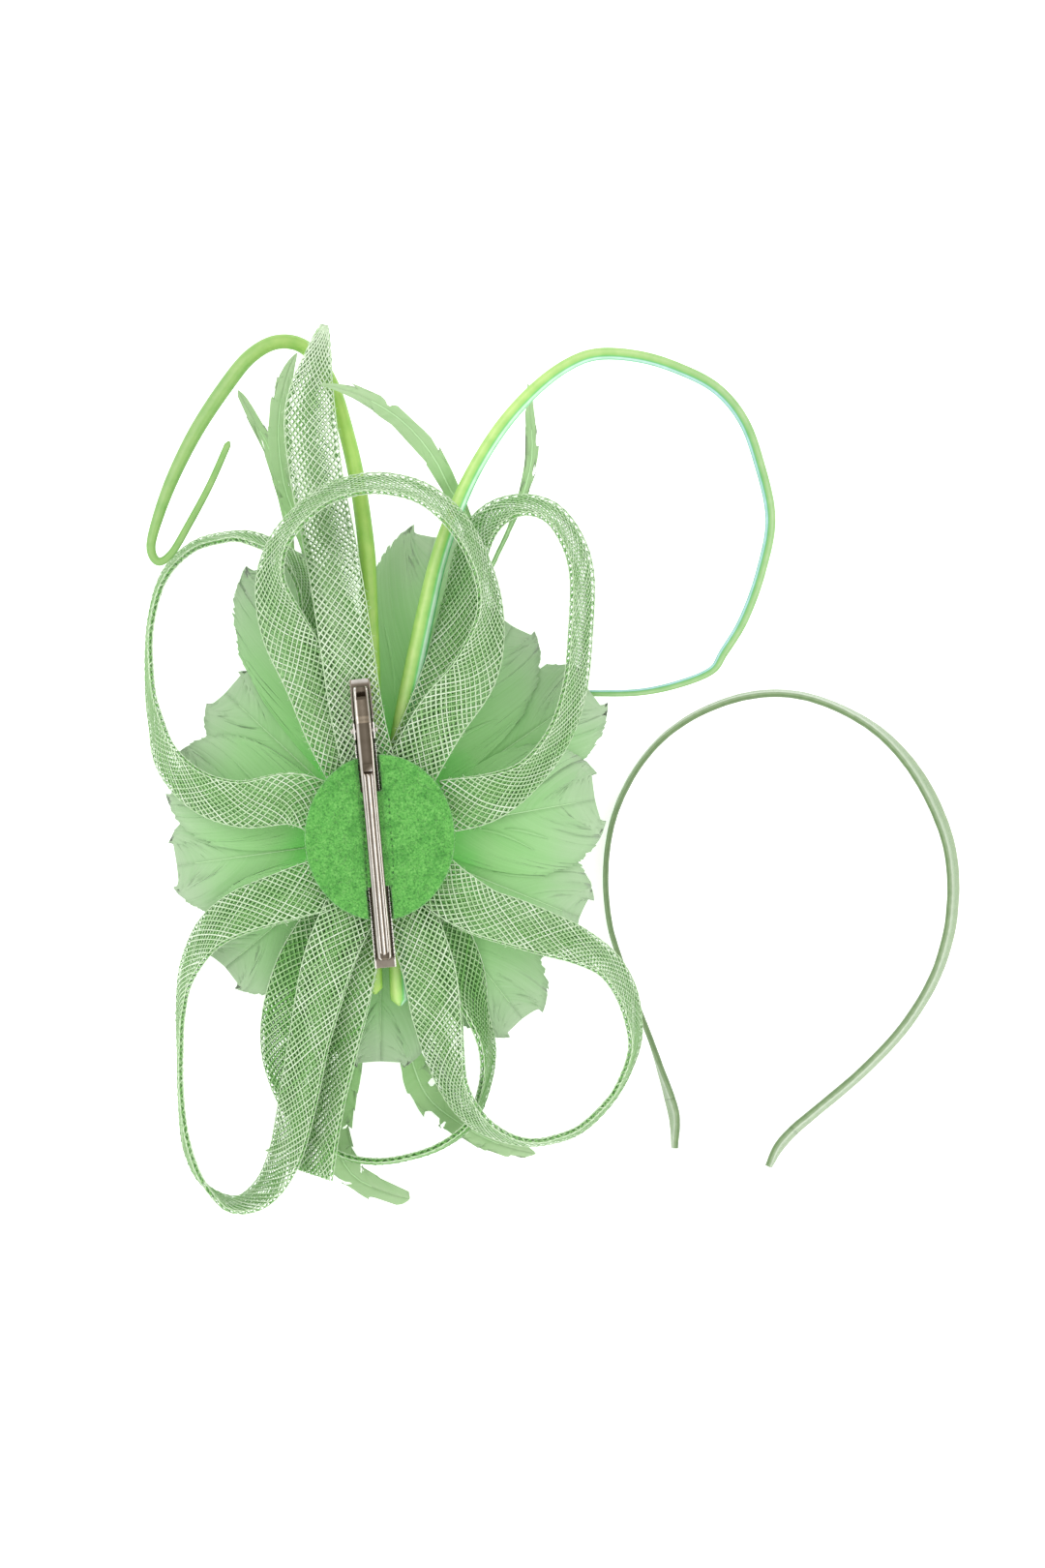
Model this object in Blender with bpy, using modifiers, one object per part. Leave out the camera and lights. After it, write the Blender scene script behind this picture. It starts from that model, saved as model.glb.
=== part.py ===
"""Fascinator headpiece with its headband, lying face down with the clip side up.

Metres, +Z up. Lengths in the tables below are millimetres from the hub, the centre of the felt
disc, and MM turns them into metres. Z is the height above the surface that the piece lies on.
"""

import math

import bmesh
import bpy
from mathutils import Matrix, Vector

MM = 0.001

# Driving dimensions, in millimetres.
HUB = (-53.1, -21.5)  # the hub's place in the object's own frame
FELT_RX, FELT_RY = 23.2, 25.7
BASE_FELT_Z = (42.0, 44.0)
BACK_FELT_Z = (44.3, 47.4)
BRAID_WIDTH, BRAID_THICK = 16.5, 0.6
PETAL_ROOT_R, PETAL_THICK = 9.0, 0.5
PLUME_THICK = 0.6
CLIP_TURN = math.radians(5.2)
CLIP_PIVOT = (-4.8, 33.0, 48.6)
BAND_THICK, SATIN, BAND_CLEARANCE = 1.6, 0.25, 0.15
STEPS_PER_SPAN = 3  # mesh stations between two neighbouring points of a route

# Routes: x, y, z, lean and, where it differs from the usual one, width. A lean of 0 lays the strip
# flat, 90 stands it on edge with the edge on the right of its direction of travel up.
BRAID_ROUTES = {
    "braid_loop_top": [
        (-7, 18, 39.6, 0), (-14.4, 31.8, 39.2, 0), (-22, 49.8, 38.8, 5), (-29.4, 64.4, 39.6, 28),
        (-33.4, 78.8, 43.5, 58), (-32, 88.8, 45.5, 68), (-27.4, 96.4, 46.8, 71),
        (-18.4, 104.6, 47.8, 71), (-8, 108.6, 48, 70), (2.4, 109.2, 48, 69), (14.3, 105.7, 47.8, 69),
        (24.6, 96.4, 47, 69), (32, 82, 45.5, 71), (33.8, 67.4, 43.5, 61), (29.1, 51, 41.5, 30),
        (18.6, 36.3, 40.2, 6), (8.5, 19, 39.6, 0)],
    "braid_leaf_top": [
        (-2.4, 18, 41.0, 0), (-7, 37.8, 41.5, 0), (-10.4, 60, 42.6, 0), (-13.6, 80, 40, 0),
        (-16.4, 95, 34.5, 0), (-19.6, 111, 32.5, 0), (-21.6, 128, 32.5, 0), (-21.2, 138, 33.2, 0, 14),
        (-19.6, 147, 34, 0, 9.5), (-18.0, 155, 34.6, 0, 5), (-17.2, 158.6, 35, 0, 2)],
    "braid_loop_left": [
        (-17.5, 9, 40.8, 0), (-27.9, 12, 40.0, 14), (-42.9, 10.2, 38.5, 32), (-56.4, 14.4, 34, 46),
        (-66.3, 24.3, 26, 62), (-70.5, 37.8, 17.5, 78), (-72, 51.3, 11, 84), (-71.6, 66, 8.5, 86),
        (-67.6, 80.6, 8.5, 84), (-58.6, 90, 10, 82), (-46.4, 93.2, 15, 81), (-37.2, 91.7, 21, 78),
        (-28, 86.4, 26.5, 74), (-21.3, 76, 30, 64), (-17.4, 60.3, 33, 35), (-12.3, 39.3, 35.8, -4),
        (-6, 20, 36.2, 0)],
    "braid_loop_right": [
        (8, 20, 37.2, 0), (15.6, 36.3, 36.6, 2), (21.6, 52.8, 34.5, 20), (25.2, 73.8, 31, 48),
        (29.1, 91, 28.5, 54), (35.1, 99.6, 27.5, 61), (44, 103, 27, 69), (53, 100.6, 26.5, 69),
        (59.3, 92.4, 26.5, 67), (62.5, 81.2, 26.5, 66), (62.1, 64, 27.5, 66), (60.3, 46.4, 29.5, 66),
        (55.2, 31.2, 32.5, 65), (45.6, 18.9, 36, 58), (33.6, 12.3, 37.8, 30), (20, 9.5, 38.4, 0)],
    "braid_loop_lower_left": [
        (-17.5, -14.5, 39.8, 0), (-27.6, -17.7, 39.6, -20), (-43.8, -23.4, 36.5, -38),
        (-53.4, -30, 31, -55), (-59.7, -40.5, 22.5, -72), (-62.1, -52.2, 14, -82),
        (-62.4, -67.2, 9.2, -87), (-62, -83, 8.5, -87), (-60, -97.2, 8.4, -84),
        (-54.9, -107.8, 9, -88), (-46, -113.6, 10.5, -104), (-36.9, -110, 14, -118),
        (-29.9, -98.8, 21.5, -127), (-25.5, -81.3, 30, -134), (-21.3, -60, 36, -140),
        (-15.9, -38.4, 40, -162), (-9, -22, 41, -180)],
    "braid_loop_bottom": [
        (-11.5, -19.5, 36.2, 0), (-16.5, -27.5, 35, 0), (-24.3, -40.2, 31.5, -15),
        (-29.1, -55.2, 27.5, -25), (-30.3, -68.7, 21.5, -40), (-27.9, -82.2, 14.5, -60, 15),
        (-21.9, -92.7, 9.5, -78, 13.5), (-12.9, -98.7, 9.2, -85, 13), (-2.4, -100.8, 9.4, -86, 13),
        (8.1, -99.6, 10, -86, 13), (18.6, -96, 10.8, -85, 13), (27.6, -89.1, 12.5, -83, 13.5),
        (32.2, -77.7, 18.5, -80, 15), (33.2, -65.7, 28, -76), (29.8, -53.7, 31.5, -66),
        (24.6, -40.2, 32, -30), (17.1, -26.7, 35.4, 0), (12.5, -19.5, 36.2, 0)],
    "braid_tail_bottom": [
        (-4, -20, 37.9, 0), (-6.6, -30, 37.8, 0), (-9, -40, 37.6, -10), (-11.3, -52.2, 35.8, -24),
        (-14.4, -68.7, 31.5, -40), (-17.6, -85.2, 28, -46), (-20.6, -104.7, 25, -46)],
    "braid_loop_lower_right": [
        (16.5, -12.5, 41, 0), (22.5, -17.5, 41, 5), (31.8, -23.1, 40, 25), (41.7, -26.4, 38.6, 30),
        (51.3, -29.7, 36.6, 38), (61.4, -33.4, 34, 50), (69.6, -38.4, 30.5, 62), (75.2, -45.8, 26.5, 67),
        (78.3, -54.6, 22.5, 73), (79, -63.6, 17.8, 80), (76.5, -72.6, 12.8, 84),
        (71.1, -82.2, 8.5, 85), (62.1, -90.6, 10, 84), (51.3, -94.2, 15.5, 84), (41.7, -93.9, 21.5, 84),
        (33.6, -90.6, 26.5, 76), (27.6, -85.2, 29, 68), (22.5, -76.8, 30.5, 60), (19.5, -65.7, 33, 42),
        (17.4, -53.7, 36.5, 20), (15, -40.5, 38.6, 5), (10.5, -27, 39.6, 0), (8.5, -20, 39.8, 0)],
}

# Stripped quills: x, y, z and radius.
QUILL_ROUTES = {
    "quill_left": [
        (-1.5, -48.6, 33, 2.3), (-2.2, -25, 33, 2.35), (-2.5, 0, 33, 2.35), (-2.2, 22.8, 33, 2.35),
        (-2.4, 49.8, 32, 2.4), (-3.2, 70.8, 31, 2.45), (-4.2, 88.8, 30, 2.5), (-6.8, 108.6, 28, 2.4),
        (-10.3, 124.6, 25.5, 2.3), (-15.3, 140.6, 23, 2.2), (-22.8, 151.4, 22, 2.2),
        (-31.6, 153.6, 22.5, 2.2), (-40.2, 149.2, 23, 2.25), (-48, 139.8, 23.5, 2.3),
        (-56.7, 126.6, 24, 2.2), (-63.6, 113.1, 24.5, 2.0), (-68.4, 100.8, 25, 1.7),
        (-71.1, 90.3, 25, 1.4), (-69, 85.5, 25, 1.25), (-64.8, 87.9, 25.5, 1.15),
        (-59.4, 96.9, 26, 1.1), (-52.8, 109.2, 26.5, 1.05), (-46.8, 122.7, 27, 1)],
    "quill_right": [
        (6.2, -52.2, 32.5, 2.9), (5, -28.2, 32.5, 2.7), (3.6, 0, 32.5, 2.7), (4.6, 19.8, 32.5, 2.8),
        (6.8, 34.8, 32.1, 2.9), (10.5, 52.8, 31.2, 2.9), (14.4, 70.8, 31.2, 2.8), (18, 85.8, 30.8, 2.6),
        (22.8, 99.8, 30, 2.4), (29.4, 114.2, 28, 2.2), (38.2, 128, 26.5, 2.1), (48.4, 139.2, 25, 2),
        (58.4, 146.6, 24, 1.9), (67.8, 149.8, 23, 1.85), (80.4, 149, 22, 1.8),
        (92.4, 145.4, 21, 1.75), (104, 139.4, 20, 1.7), (112.2, 130, 19, 1.65),
        (117.2, 117.3, 18, 1.6), (121.1, 99.3, 16, 1.55), (118.2, 82.6, 14.5, 1.5),
        (112.8, 67.6, 13, 1.45), (106.6, 57.3, 12, 1.35), (102.6, 51.6, 11.5, 1.2),
        (92.1, 47.4, 11, 1.15), (80.1, 45, 10.5, 1.05), (65.7, 44.7, 10, 0.95), (57.6, 45, 9.5, 0.9)],
}

# Long narrow feathers: x, y, z, lean and width.
PLUME_ROUTES = {
    "plume_tall": [
        (-4, 9, 22.8, 0, 2), (-12, 40, 20, 0, 2.5), (-18.9, 73.8, 14, 0, 3), (-24.9, 94.8, 14, 0, 3.6),
        (-30.2, 110.8, 16, 0, 6.4), (-31.6, 128.6, 20, 0, 7), (-28.4, 144.6, 25.2, 0, 5.4),
        (-22.4, 155.6, 25.6, 0, 2)],
    "plume_pointed": [
        (-6, 8, 22.8, 0, 2), (-18, 40, 19.5, 0, 2.2), (-26, 75, 12.5, 0, 2.5), (-29, 98, 11.5, 0, 2.8),
        (-33.9, 118.5, 11.5, 0, 4.4), (-38.5, 128, 11.5, 0, 4), (-47, 144, 11.5, 0, 0.8)],
    "plume_arched": [
        (1, 10, 22.8, 0, 2), (9, 40, 20, 0, 2.4), (18, 68, 11, 0, 3), (25, 82, 9.5, 0, 3.4), (28.4, 93, 9.5, 0, 4),
        (26.4, 101, 14.5, 0, 5), (21.8, 107.5, 22, 0, 6), (16.6, 117.6, 29.5, 0, 7), (7.8, 128, 35, 0, 6.4),
        (-3.9, 135.6, 40, 0, 5.6), (-15.9, 139.6, 43, 0, 5), (-26, 139.8, 44, 0, 4)],
    "plume_right": [
        (4, 9, 22.8, 0, 2), (18, 42, 20.5, 0, 2), (31, 76, 13, 0, 1.6), (39.6, 94.8, 13, 0, 1.6),
        (44.6, 107.4, 14.5, 0, 3.2), (47.1, 119, 14, 0, 4.4), (46.4, 132, 13.5, 0, 3),
        (45.3, 147, 13, 0, 0.8)],
    "plume_lower_left": [
        (-4, -9, 22.8, 0, 2), (-12, -45, 18, 0, 2.4), (-17, -72, 10, 0, 3), (-19.5, -84, 4, 0, 3.4),
        (-25, -92.5, 2.2, 0, 4), (-31.5, -96.6, 2, 0, 3.4), (-40.4, -98.2, 2, 0, 0.8)],
    "plume_bottom": [
        (-1, -10, 22.8, 0, 2), (-3, -42, 19.6, 0, 2.4), (-6, -62, 15.5, 0, 4), (-10, -78, 9, 0, 7),
        (-14, -93, 2.2, 0, 10), (-9, -105, 1.1, 0, 10), (3, -111, 1.1, 0, 7), (14, -113.6, 1.1, 0, 1)],
    "plume_lower_right": [
        (3, -9, 22.8, 0, 2), (5, -42, 19.6, 0, 3), (8, -62, 16, 0, 7), (13.5, -79, 8.5, 0, 11),
        (23.1, -88, 3.4, 0, 9.5), (37, -95.6, 2.4, 0, 7.4), (53, -99.6, 2, 0, 1)],
}

# Broad feathers: bearing in degrees from +X, reach and widest width.
BACK_PETALS = [
    ("back_petal_top", 80, 98, 36), ("back_petal_top_left", 112, 94, 40),
    ("back_petal_left_upper", 137, 68, 36), ("back_petal_left", 163, 68, 36),
    ("back_petal_left_lower", 188, 66, 37), ("back_petal_lower_left", 220, 65, 38),
    ("back_petal_bottom", 270, 72, 38), ("back_petal_lower_right", 308, 74, 36),
    ("back_petal_right_lower", 338, 69, 38), ("back_petal_right", 10, 70, 42),
    ("back_petal_right_upper", 35, 82, 36), ("back_petal_upper_right", 58, 80, 36)]
FRONT_PETAL_COUNT, FRONT_PETAL_REACH, FRONT_PETAL_WIDTH = 6, 47, 26

# The headband: x, y, lean from upright and width. Its lower edge rests on the surface all the way.
BAND_ROUTE = [
    (91.4, -96.9, 10, 3.5), (91.4, -88.2, 18, 6.5), (89.9, -81.4, 14, 8), (87, -72.3, 5, 8),
    (84, -63.3, 0, 8), (80.5, -54.4, 0, 8), (77, -45.6, 0, 8), (74, -37, 0, 8), (71.5, -28.7, 0, 8),
    (70.2, -19.8, 0, 8), (69.9, -11.2, 0, 8), (70.6, -2.6, 0, 8), (72.4, 6, 1, 8), (75.7, 14.4, 2, 8),
    (80.7, 22.9, 2, 8), (87.7, 30.9, 3, 8), (96.7, 37.4, 4, 8), (106.4, 41.8, 5, 8),
    (115, 44.1, 6, 8), (123.3, 44.8, 6, 8), (131.6, 43.9, 7, 8), (139.7, 41.4, 8, 8),
    (147.2, 37.9, 10, 8), (153.9, 33.7, 13, 8), (159.8, 28.5, 16, 8), (165.3, 22, 19, 8),
    (170, 14.6, 21, 8), (173.8, 6.6, 21, 8), (176.6, -1.6, 20, 8), (178, -10.2, 20, 8),
    (178.1, -19.6, 19, 8), (176.6, -31, 18, 8), (171.9, -44.8, 16, 8), (162.7, -59.5, 15, 8),
    (149.8, -73.2, 14, 8), (135.2, -85.6, 14, 8), (128.6, -91.2, 15, 8), (123.8, -96.6, 15, 7.4),
    (120.7, -102.6, 12, 4)]

# Colours: red, green, blue, roughness, metallic.
FINISHES = {
    "felt": (0.10, 0.52, 0.10, 0.95, 0.0),
    "sinamay": (0.42, 0.68, 0.40, 0.80, 0.0),
    "quill": (0.36, 0.62, 0.20, 0.45, 0.0),
    "feather": (0.40, 0.68, 0.38, 0.85, 0.0),
    "plume": (0.36, 0.62, 0.30, 0.80, 0.0),
    "satin": (0.33, 0.48, 0.22, 0.40, 0.0),
    "band_plastic": (0.80, 0.82, 0.78, 0.40, 0.0),
    "nickel": (0.62, 0.58, 0.53, 0.22, 1.0),
}


def clear_scene():
    for obj in list(bpy.data.objects):
        bpy.data.objects.remove(obj)


def make_collection(name):
    collection = bpy.data.collections.new(name)
    bpy.context.scene.collection.children.link(collection)
    return collection


def make_material(name):
    red, green, blue, roughness, metallic = FINISHES[name]
    material = bpy.data.materials.new(name)
    material.use_nodes = True
    shader = material.node_tree.nodes["Principled BSDF"]
    shader.inputs["Base Color"].default_value = (red, green, blue, 1)
    shader.inputs["Roughness"].default_value = roughness
    shader.inputs["Metallic"].default_value = metallic
    return material


def add_mesh(name, mesh, material, parent):
    """Puts a bmesh into the scene as one named object, in the parent's frame."""
    data = bpy.data.meshes.new(name)
    mesh.to_mesh(data)
    mesh.free()
    data.materials.append(MATERIALS[material])
    obj = bpy.data.objects.new(name, data)
    obj.parent = parent
    PARTS.objects.link(obj)
    return obj


def smooth_route(points, steps=STEPS_PER_SPAN):
    """Catmull-Rom curve through rows of numbers, each column blended alike."""
    rows = [Vector(p) for p in points]
    ends = [rows[0] * 2 - rows[1]] + rows + [rows[-1] * 2 - rows[-2]]
    curve = []
    for a, b, c, d in zip(ends, ends[1:], ends[2:], ends[3:]):
        for step in range(steps):
            t = step / steps
            curve.append(0.5 * (2 * b + (c - a) * t + (2 * a - 5 * b + 4 * c - d) * t * t
                                + (3 * b - a - 3 * c + d) * t ** 3))
    return curve + [rows[-1]]


def strip_frames(route):
    """Centre, half-width vector and surface normal at each station of a strip, in metres."""
    stations = smooth_route(route)
    centres = [Vector(s[:3]) * MM for s in stations]
    frames = []
    for i, station in enumerate(stations):
        along = (centres[min(i + 1, len(centres) - 1)] - centres[max(i - 1, 0)]).normalized()
        side = along.cross(Vector((0, 0, 1))).normalized()
        lean = math.radians(station[3])
        across = side * math.cos(lean) + side.cross(along) * math.sin(lean)
        frames.append((centres[i], across * (station[4] / 2 * MM), across.cross(along)))
    return frames


def solid_sheet(obj, thickness):
    """Gives an open surface its thickness, half on each side."""
    solid = obj.modifiers.new("thickness", "SOLIDIFY")
    solid.thickness = thickness * MM
    solid.offset = 0
    solid.use_even_offset = False


def add_strip(name, route, thickness, material, parent, columns=1):
    """A flat strip that follows its route: a grid laid along the stations, then thickened."""
    frames = strip_frames(route)
    mesh = bmesh.new()
    bmesh.ops.create_grid(mesh, x_segments=len(frames) - 1, y_segments=columns, size=1)
    for vertex in mesh.verts:
        station = round((vertex.co.x + 1) / 2 * (len(frames) - 1))
        centre, half, _ = frames[station]
        vertex.co = centre + half * vertex.co.y
    obj = add_mesh(name, mesh, material, parent)
    solid_sheet(obj, thickness)
    return obj


def with_width(route, width):
    return [row if len(row) == 5 else (*row, width) for row in route]


def add_tube(name, route, material, parent):
    """A tapered round tube along a smooth route of x, y, z and radius."""
    curve = bpy.data.curves.new(name, "CURVE")
    curve.dimensions = "3D"
    curve.bevel_depth = MM
    curve.bevel_resolution = 2
    curve.use_fill_caps = True
    curve.materials.append(MATERIALS[material])
    stations = smooth_route(route, 2)
    spline = curve.splines.new("POLY")
    spline.points.add(len(stations) - 1)
    for point, station in zip(spline.points, stations):
        point.co = (*(Vector(station[:3]) * MM), 1)
        point.radius = station[3]
    obj = bpy.data.objects.new(name, curve)
    obj.parent = parent
    PARTS.objects.link(obj)
    return obj


def petal_height(reach, root_z, droop):
    """Height of a broad feather at this distance from the hub, in millimetres."""
    return root_z - droop * (reach - PETAL_ROOT_R) ** 2


def add_petal(name, bearing, reach, width, root_z, droop, parent):
    """A broad feather: a grid shaped to a rounded leaf that cups downwards, then thickened."""
    rows, columns = 8, 4
    mesh = bmesh.new()
    bmesh.ops.create_grid(mesh, x_segments=rows, y_segments=columns, size=1)
    for vertex in mesh.verts:
        share = (vertex.co.x + 1) / 2
        distance = PETAL_ROOT_R + share * (reach - PETAL_ROOT_R)
        half = width / 2 * (0.12 + 0.88 * math.sin(min(1, share / 0.7) * math.pi / 2) ** 1.5)
        half *= math.sqrt(max(0, 1 - max(0, (share - 0.62) / 0.40) ** 2.4))
        z = petal_height(distance, root_z, droop)
        vertex.co = Vector((distance, half * vertex.co.y, z)) * MM
    mesh.transform(Matrix.Rotation(math.radians(bearing), 4, "Z"))
    obj = add_mesh(name, mesh, "feather", parent)
    solid_sheet(obj, PETAL_THICK)
    return obj


def block(mesh, low, high):
    """Adds a box between two corners, in millimetres."""
    low, high = Vector(low), Vector(high)
    size = Matrix.Diagonal((*(high - low), 1))
    place = Matrix.Translation((low + high) / 2)
    bmesh.ops.create_cube(mesh, size=1, matrix=Matrix.Scale(MM, 4) @ place @ size)


def make_cutter(name, mesh, parent):
    data = bpy.data.meshes.new(name)
    mesh.to_mesh(data)
    mesh.free()
    obj = bpy.data.objects.new(name, data)
    obj.parent = parent
    obj.hide_render = True
    obj.display_type = "WIRE"
    CUTTERS.objects.link(obj)
    return obj


def combine(obj, other, operation):
    modifier = obj.modifiers.new(operation.lower(), "BOOLEAN")
    modifier.operation = operation
    modifier.object = other


def add_disc(name, z, parent, material="felt", rx=FELT_RX, ry=FELT_RY, sides=48):
    mesh = bmesh.new()
    shape = Matrix.Translation((0, 0, (z[0] + z[1]) / 2 * MM)) @ Matrix.Diagonal(
        (rx * MM, ry * MM, (z[1] - z[0]) * MM, 1))
    bmesh.ops.create_cone(mesh, cap_ends=True, segments=sides, radius1=1, radius2=1, depth=1,
                          matrix=shape)
    return add_mesh(name, mesh, material, parent)


CLIP_TIP = -73.5  # every clip length runs along its own Y from the pivot, levers at +Y
JAW_HALF, JAW_TALL = 3.3, 1.6  # the lower jaw's channel
ARM_HALF, ARM_TALL = 2.3, 1.3  # the upper jaw's channel
METAL = 0.5
PIN_RADIUS, PIN_HALF = 0.6, 3.9
HOLE_RADIUS = 0.7
JAW_FLOOR = -4.0  # the lower jaw's underside, from the pivot's height
ARM_TOP = 1.6  # the upper jaw's top at the pivot
TONGUE_Y = (14.0, -15.5)  # the felt bridge over the lower jaw, from the hub


def along_x_cylinder(mesh, radius, half_length, y=0.0, z=0.0, sides=16):
    turn = Matrix.Rotation(math.pi / 2, 4, "Y")
    place = Matrix.Translation((0, y, z))
    bmesh.ops.create_cone(mesh, cap_ends=True, segments=sides, radius1=radius, radius2=radius,
                          depth=2 * half_length, matrix=Matrix.Scale(MM, 4) @ place @ turn)


def pin_hole_cutter(name, parent):
    mesh = bmesh.new()
    along_x_cylinder(mesh, HOLE_RADIUS, 2 * PIN_HALF)
    return make_cutter(name, mesh, parent)


def channel_outline(half, tall, metal, opens_up):
    """Half of a channel's section, open at its plane of symmetry: x and z, in millimetres."""
    sign = 1 if opens_up else -1
    return [(0, 0), (half, 0), (half, sign * tall), (half - metal, sign * tall),
            (half - metal, sign * metal), (0, sign * metal)]


def add_channel(name, half, stations, opens_up, parent):
    """A pressed channel swept along Y: stations are y, z and wall height, bridged in order."""
    mesh = bmesh.new()
    rings = []
    for y, z, tall in stations:
        outline = channel_outline(half, tall, METAL, opens_up)
        outline += [(-px, pz) for px, pz in reversed(outline[1:-1])]
        rings.append([mesh.verts.new(Vector((px, y, z + pz)) * MM) for px, pz in outline])
    for near, far in zip(rings, rings[1:]):
        for i in range(len(near)):
            j = (i + 1) % len(near)
            mesh.faces.new((near[i], near[j], far[j], far[i]))
    mesh.faces.new(rings[0])
    mesh.faces.new(rings[-1])
    bmesh.ops.recalc_face_normals(mesh, faces=mesh.faces)
    return add_mesh(name, mesh, "nickel", parent)


def build_clip(parent):
    pivot = bpy.data.objects.new("clip_frame", None)
    pivot.parent = parent
    pivot.location = Vector(CLIP_PIVOT) * MM
    pivot.rotation_euler = (0, 0, CLIP_TURN)
    PARTS.objects.link(pivot)
    lower = add_channel("clip_lower_jaw", JAW_HALF, [
        (16, JAW_FLOOR - 0.1, 1.0), (2.6, JAW_FLOOR, 1.4), (2.2, JAW_FLOOR, 5.2), (-2.2, JAW_FLOOR, 5.2),
        (-3.2, JAW_FLOOR, JAW_TALL), (CLIP_TIP + 3, JAW_FLOOR, JAW_TALL), (CLIP_TIP, JAW_FLOOR, 2.3),
    ], True, pivot)
    combine(lower, pin_hole_cutter("lower_pin_hole", pivot), "DIFFERENCE")
    upper = add_channel("clip_upper_jaw", ARM_HALF, [
        (13.4, 6.6, 1.0), (12.8, 6.7, 1.2), (4, 2.9, 1.4), (2, ARM_TOP, 2.6), (-2, ARM_TOP, 2.6),
        (-5, 0.9, 1.5), (-26, 0.25, ARM_TALL), (CLIP_TIP + 4, 0.1, ARM_TALL), (CLIP_TIP + 2.6, 0, 1.1),
    ], False, pivot)
    combine(upper, pin_hole_cutter("upper_pin_hole", pivot), "DIFFERENCE")
    slot = bmesh.new()
    block(slot, (-1.5, -12.6, -2), (1.5, -10.2, 3))
    combine(upper, make_cutter("spring_slot", slot, pivot), "DIFFERENCE")
    pin = bmesh.new()
    along_x_cylinder(pin, PIN_RADIUS, PIN_HALF)
    add_mesh("clip_pivot_pin", pin, "nickel", pivot)
    add_spring(pivot)
    return pivot


def add_spring(pivot):
    """A leaf that starts under the upper jaw, comes up through its slot and lies along it."""
    line = [(-4.4, -0.55), (-9.4, -0.75), (-10.8, -0.5), (-11.9, 1.0), (-13.6, 1.5), (-26, 0.95),
            (-50, 0.75), (CLIP_TIP + 6, 0.65), (CLIP_TIP + 4.6, 0.6)]
    half_width = 1.15
    mesh = bmesh.new()
    bmesh.ops.create_grid(mesh, x_segments=len(line) - 1, y_segments=1, size=1)
    for vertex in mesh.verts:
        y, z = line[round((vertex.co.x + 1) / 2 * (len(line) - 1))]
        vertex.co = Vector((vertex.co.y * half_width, y, z)) * MM
    solid_sheet(add_mesh("clip_spring", mesh, "nickel", pivot), 0.4)


def build_felt(parent, clip_frame):
    add_disc("felt_base_disc", BASE_FELT_Z, parent)
    back = add_disc("felt_backing_disc", BACK_FELT_Z, parent)
    floor = BACK_FELT_Z[0] - CLIP_PIVOT[2]
    channel = bmesh.new()
    block(channel, (-3.6, -70, floor - 1), (3.6, 20, floor + 2.1))
    combine(back, make_cutter("jaw_channel", channel, clip_frame), "DIFFERENCE")
    notches = bmesh.new()
    for near, far, left in ((TONGUE_Y[0], 40, -2.7), (-40, TONGUE_Y[1], -3.8)):
        block(notches, (left, near - CLIP_PIVOT[1], floor - 2), (3.8, far - CLIP_PIVOT[1], floor + 6))
    combine(back, make_cutter("tongue_notches", notches, clip_frame), "DIFFERENCE")
    recess = bmesh.new()
    block(recess, (-3.7, -75, BACK_FELT_Z[1] - 0.4 - CLIP_PIVOT[2]), (3.7, 25, floor + 5))
    combine(back, make_cutter("tongue_recess", recess, clip_frame), "DIFFERENCE")


def build_flower(parent):
    for i, (name, bearing, reach, width) in enumerate(BACK_PETALS):
        root = 28.5 if i % 2 else 26.9
        add_petal(name, bearing, reach, width, root, 0.0021, parent)
    add_disc("front_base_disc", (19.2, 21.2), parent, rx=10, ry=10, sides=24)
    for i in range(FRONT_PETAL_COUNT):
        bearing = 360 / FRONT_PETAL_COUNT * (i + 0.5)
        add_petal(f"front_petal_{i + 1}", bearing, FRONT_PETAL_REACH, FRONT_PETAL_WIDTH, 18.6, 0.01267,
                  parent)


def band_stations():
    """The headband's stations: centre, unit vector up its face and its width, in millimetres."""
    rows = smooth_route([(x, y, lean, width) for x, y, lean, width in BAND_ROUTE], 2)
    stations = []
    for i, (x, y, lean, width) in enumerate(rows):
        before, after = rows[max(i - 1, 0)], rows[min(i + 1, len(rows) - 1)]
        along = Vector((after[0] - before[0], after[1] - before[1], 0)).normalized()
        side = along.cross(Vector((0, 0, 1)))
        lean = math.radians(lean)
        up = Vector((0, 0, math.cos(lean))) + side * math.sin(lean)
        z = width / 2 * math.cos(lean) + BAND_THICK / 2 * abs(math.sin(lean)) + 0.03
        stations.append((Vector((x, y, z)), up, up.cross(along), width))
    return stations


def ring_around(mesh, station, inset):
    """One rectangle of vertices across the band, this far inside its outer surface."""
    centre, up, out, width = station
    tall, thick = width / 2 - inset, BAND_THICK / 2 - inset
    corners = [(tall, thick), (tall, -thick), (-tall, -thick), (-tall, thick)]
    return [mesh.verts.new((centre + up * a + out * b) * MM) for a, b in corners]


def bridge(mesh, near, far):
    for i in range(len(near)):
        j = (i + 1) % len(near)
        mesh.faces.new((near[i], near[j], far[j], far[i]))


def add_band_piece(name, stations, inset, material, parent, wall=None):
    """A bar along the band or, given a wall thickness, a sleeve that is open at both ends."""
    mesh = bmesh.new()
    outer = [ring_around(mesh, station, inset) for station in stations]
    for near, far in zip(outer, outer[1:]):
        bridge(mesh, near, far)
    if wall is None:
        mesh.faces.new(outer[0])
        mesh.faces.new(outer[-1])
    else:
        inner = [ring_around(mesh, station, inset + wall) for station in stations]
        for near, far in zip(inner, inner[1:]):
            bridge(mesh, near, far)
        bridge(mesh, outer[0], inner[0])
        bridge(mesh, outer[-1], inner[-1])
    bmesh.ops.recalc_face_normals(mesh, faces=mesh.faces)
    return add_mesh(name, mesh, material, parent)


def shortened(stations, gap):
    """The same stations with the first one moved along by a gap."""
    (first, up, out, width), (second, *_) = stations[0], stations[1]
    return [(first + (second - first).normalized() * gap, up, out, width)] + stations[1:]


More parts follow.
